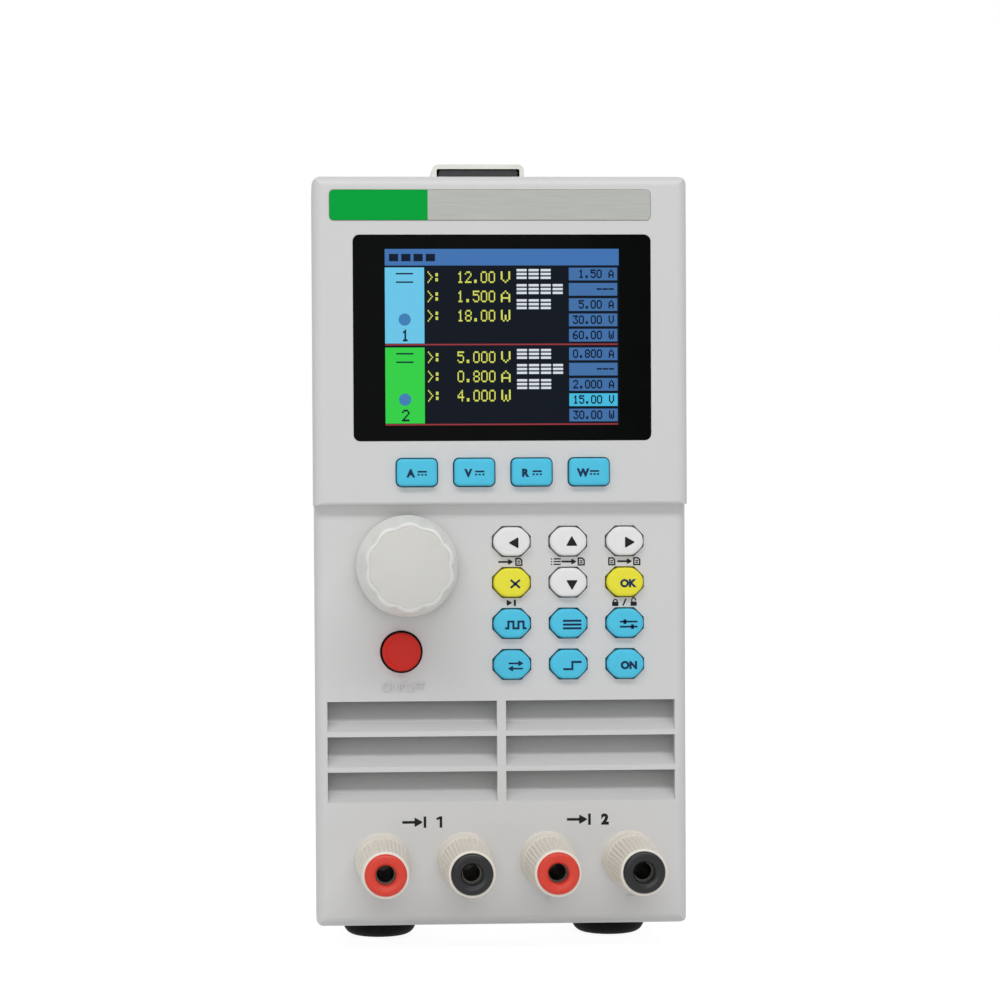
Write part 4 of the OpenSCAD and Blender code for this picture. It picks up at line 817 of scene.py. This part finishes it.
BLOCK_W = 9.3
CHANNEL_TOP = [4.35, 23.25]
CHANNEL_H = 17.95
ROW_STEP = 4.55
READINGS = [["12.00V", "1.500A", "18.00W"], ["5.000V", "0.800A", "4.000W"]]
SETTINGS = [["1.50 A", "---", "5.00 A", "30.00 V", "60.00 W"],
            ["0.800 A", "---", "2.000 A", "15.00 V", "30.00 W"]]
BOX_LEFT, BOX_RIGHT, BOX_H, BOX_STEP = 43.6, 55.1, 3.0, 3.62
BAR_CELLS, BAR_STEP = [3, 4, 3], 3.57
CELL_LEFT, CELL_STEP, CELL_W = 31.2, 2.85, 2.4
DIGIT_H, MARK_RIGHT, VALUE_RIGHT, UNIT_RIGHT = 2.75, 13.2, 26.1, 29.7
SETTING_H, SETTING_SLIM, SETTING_BOLD, SETTING_INSET = 1.95, 0.85, 1.35, 0.9
PICKED = (1, 3)

layers = {"field": [screen_box(0, 0, *SCREEN, 1)], "title": [screen_box(0, 0, SCREEN[0], 3.9, 2)]}
layers.update({key: [] for key in ("cyan", "green", "dot", "rule", "digits", "bars", "boxes", "picked",
                                   "dark")})
layers["dark"] += [screen_box(1.0 + 2.9 * i, 1.15, 3.2 + 2.9 * i, 2.9, 3) for i in range(4)]
for channel, top in enumerate(CHANNEL_TOP):
    layers["green" if channel else "cyan"].append(screen_box(0, top, BLOCK_W, top + CHANNEL_H, 2))
    dot = slab(arc((0, 0), 1.45, 0, 345, 24), 0.05, 2 * LAYER, 3 * LAYER)
    layers["dot"].append(moved(dot, screen_corner, (BLOCK_W / 2, -top - 12.3, 0)))
    layers["rule"].append(screen_box(0, top + CHANNEL_H + 0.1, SCREEN[0] - 0.3, top + CHANNEL_H + 0.45, 3))
    layers["dark"].append(screen_text(str(channel + 1), 2.7, BLOCK_W / 2 + 0.95, top + 16.1, 3, 0.9, 1.2))
    layers["dark"] += [screen_box(2.6, top + y, BLOCK_W - 2.6, top + y + 0.35, 3) for y in (1.3, 3.3)]
    for row, words in enumerate(READINGS[channel]):
        middle = top + 2.3 + ROW_STEP * row
        layers["digits"].append(screen_text(words[:-1], DIGIT_H, VALUE_RIGHT, middle, 2))
        layers["digits"].append(screen_text(words[-1], DIGIT_H, UNIT_RIGHT, middle, 2, 1.15))
        layers["digits"].append(screen_text(">:", DIGIT_H, MARK_RIGHT, middle, 2))
        bar_mid = top + 1.6 + BAR_STEP * row
        cells = [CELL_LEFT + CELL_STEP * i for i in range(BAR_CELLS[row])]
        layers["bars"] += [screen_box(x, bar_mid + y, x + CELL_W, bar_mid + y + 0.55, 2)
                           for x in cells for y in (-1.2, -0.3, 0.6)]
    for row, words in enumerate(SETTINGS[channel]):
        y = top + 0.1 + BOX_STEP * row
        layers["picked" if (channel, row) == PICKED else "boxes"].append(
            screen_box(BOX_LEFT, y, BOX_RIGHT, y + BOX_H, 2))
        layers["dark"].append(screen_text(words, SETTING_H, BOX_RIGHT - SETTING_INSET, y + BOX_H / 2, 3,
                                          SETTING_SLIM, SETTING_BOLD))
SCREEN_COLOURS = {
    "field": ("#0e1621", 0.9),
    "title": ("#4679ba", 0.9),
    "cyan": ("#6ecbee", 0.95),
    "green": ("#36d54a", 0.95),
    "dot": ("#4686c0", 0.9),
    "rule": ("#a23c44", 0.85),
    "digits": ("#dfe465", 0.95),
    "bars": ("#dfe6f0", 0.95),
    "boxes": ("#4776af", 0.9),
    "picked": ("#49bfe3", 0.95),
    "dark": ("#0f1d33", 0.9),
}
for key, shapes in layers.items():
    piece(f"display_{key}", shapes, lit_pixels(f"display_{key}", *SCREEN_COLOURS[key]), "instrument")


# Carrying strap

STRAP_W = 21.6
grip_low, grip_high = corners("strap_grip")
flex_low, flex_high = corners("strap_flex")
CAP_LENGTH, FLEX_LENGTH = 25.0, 9


def strap_half(front):
    """Half of the strap, from inside one end cap to the middle. Along its length the thickness runs
    smoothly from the thick end in the cap to the thin grip, and each section is a flat outline with round
    edges and a low crown."""
    inside, middle = flex_low[1], (flex_low[1] + flex_high[1]) / 2
    along = np.concatenate([
        np.linspace(inside, inside + CAP_LENGTH, 4),
        np.linspace(0, 1, 13)[1:] * FLEX_LENGTH + inside + CAP_LENGTH,
        np.linspace(inside + CAP_LENGTH + FLEX_LENGTH, middle, 24)[1:],
    ])
    t = np.clip((along - inside - CAP_LENGTH + 1) / FLEX_LENGTH, 0, 1)
    thin = t * t * (3 - 2 * t)
    low = flex_low[2] + (grip_low[2] - flex_low[2]) * thin
    high = flex_high[2] + (grip_high[2] - flex_high[2]) * thin
    half_height, mid = (high - low) / 2, (high + low) / 2
    edge = rounded(oblong(STRAP_W, 2), 0.9, steps=7)
    rib = 0.14 * np.exp(-((np.abs(edge[:, 0]) - STRAP_W / 2 + 2.2) / 0.7) ** 2) * (np.abs(edge[:, 1]) > 0.9)
    height = edge[:, 1] * (1 - rib)
    x = np.broadcast_to(edge[:, 0], (len(along), len(edge)))
    y = np.broadcast_to(along[:, None], x.shape)
    z = mid[:, None] + half_height[:, None] * height[None]
    y = y if front else 2 * middle - y
    return skin(np.stack([x, y, z], axis=-1))


for end, front in (("front", True), ("rear", False)):
    half = piece(f"strap_{end}", [strap_half(front)], STRAP_VINYL, "instrument",
                 ["strap_flex", "strap_grip"])
    half.parent = None
    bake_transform(half)


# Floor, light and camera

def seen_directly(tree):
    """1 for a ray from the camera, a reflection or through glass, and 0 for light that falls on the
    object."""
    rays = add(tree, "ShaderNodeLightPath")
    seen = add(tree, "ShaderNodeMath", {0: rays.outputs["Is Camera Ray"], 1: rays.outputs["Is Glossy Ray"]},
               operation="ADD")
    seen = add(tree, "ShaderNodeMath", {0: seen.outputs["Value"], 1: rays.outputs["Is Transmission Ray"]},
               operation="ADD", use_clamp=True)
    return seen.outputs["Value"]


def floor_paper():
    """Matt white paper: seen directly or in a reflection it is the white of the background, less a share
    of its own shading, so that the object's soft shadow stays."""
    material, tree, shader, _ = blank("paper_white", Base_Color=linear("#f4f4f4"), Roughness=0.9)
    white = add(tree, "ShaderNodeEmission", {"Color": (1, 1, 1, 1), "Strength": 0.93})
    shade = add(tree, "ShaderNodeBsdfDiffuse", {"Color": (0.22, 0.22, 0.22, 1)})
    page = add(tree, "ShaderNodeAddShader", {0: white.outputs["Emission"], 1: shade.outputs["BSDF"]})
    both = add(tree, "ShaderNodeMixShader", {0: seen_directly(tree), 1: shader.outputs["BSDF"],
                                             2: page.outputs["Shader"]})
    tree.links.new(both.outputs["Shader"], tree.nodes["Material Output"].inputs["Surface"])
    return material


# The floor lies a hair below the feet, so that the two faces do not meet
FLOOR_HALF, FLOOR_DROP = 4.0, 0.05
floor_mesh = bpy.data.meshes.new("floor")
floor_line = np.linspace(-1, 1, 5)
floor_grid = np.stack(np.meshgrid(floor_line, floor_line, [0.0]), axis=-1).reshape(5, 5, 3)
floor_points, floor_faces = skin(floor_grid * FLOOR_HALF - (0, 0, FLOOR_DROP * MM), ring=(False, False),
                                 fill=False)
floor_mesh.from_pydata(floor_points.tolist(), [], floor_faces)
floor_mesh.materials.append(floor_paper())
floor = bpy.data.objects.new("floor", floor_mesh)
bpy.context.scene.collection.objects.link(floor)

WORLD_LEVEL = 0.4
world = bpy.data.worlds.new("studio")
world.use_nodes = True
bpy.context.scene.world = world
sky = world.node_tree
level = add(sky, "ShaderNodeMapRange", {"Value": seen_directly(sky), "To Min": WORLD_LEVEL, "To Max": 1.0})
sky.links.new(level.outputs["Result"], sky.nodes["Background"].inputs["Strength"])
sky.nodes["Background"].inputs["Color"].default_value = (1, 1, 1, 1)


def softbox(name, place, aim, size, power):
    """An area lamp of some width and height at a place, turned to a point."""
    lamp = bpy.data.lights.new(name, "AREA")
    lamp.shape = "RECTANGLE"
    lamp.size, lamp.size_y = size
    lamp.energy = power
    made = bpy.data.objects.new(name, lamp)
    made.location = place
    made.rotation_euler = (Vector(aim) - Vector(place)).to_track_quat("-Z", "Y").to_euler()
    bpy.context.scene.collection.objects.link(made)


MIDDLE = (0.0, -0.125, 0.1)
softbox("softbox_key", (-0.1, -1.1, 1.35), MIDDLE, (2.2, 0.35), 15.7)
softbox("softbox_fill", (-0.1, -1.25, 0.12), MIDDLE, (0.5, 0.5), 1.3)

# The camera stands to the left of the panel's middle. Its axis turns to the right by TURN and down by
# FALL, and what is left of the way to the middle of the picture is a shift of the frame
FOCAL_PX = 2624.0
PICTURE_PX = 1000
SENSOR = 36.0
CAMERA_U, CAMERA_V, CAMERA_BACK = -47.5, 97.0, 620.0
AIM_U, AIM_V = -0.45, 101.4
TURN, FALL = 0.0456, 0.0157
ROLL = -0.31
camera_data = bpy.data.cameras.new("camera")
camera_data.sensor_width = SENSOR
camera_data.lens = FOCAL_PX / PICTURE_PX * SENSOR
camera_data.shift_x = ((AIM_U - CAMERA_U) / CAMERA_BACK - TURN) * FOCAL_PX / PICTURE_PX
camera_data.shift_y = ((AIM_V - CAMERA_V) / CAMERA_BACK + FALL) * FOCAL_PX / PICTURE_PX
camera_data.clip_start, camera_data.clip_end = 0.01, 50
camera = bpy.data.objects.new("camera", camera_data)
eye = Vector((CAMERA_U, UPPER_FACE - CAMERA_BACK, FOOT_OF_PANEL + CAMERA_V)) * MM
ahead = Vector((TURN, 1, -FALL))
turn = ahead.to_track_quat("-Z", "Y").to_matrix().to_4x4() @ Matrix.Rotation(math.radians(ROLL), 4, "Z")
camera.matrix_world = Matrix.Translation(eye) @ turn
bpy.context.scene.collection.objects.link(camera)
bpy.context.scene.camera = camera
bpy.context.scene.view_settings.view_transform = "Standard"
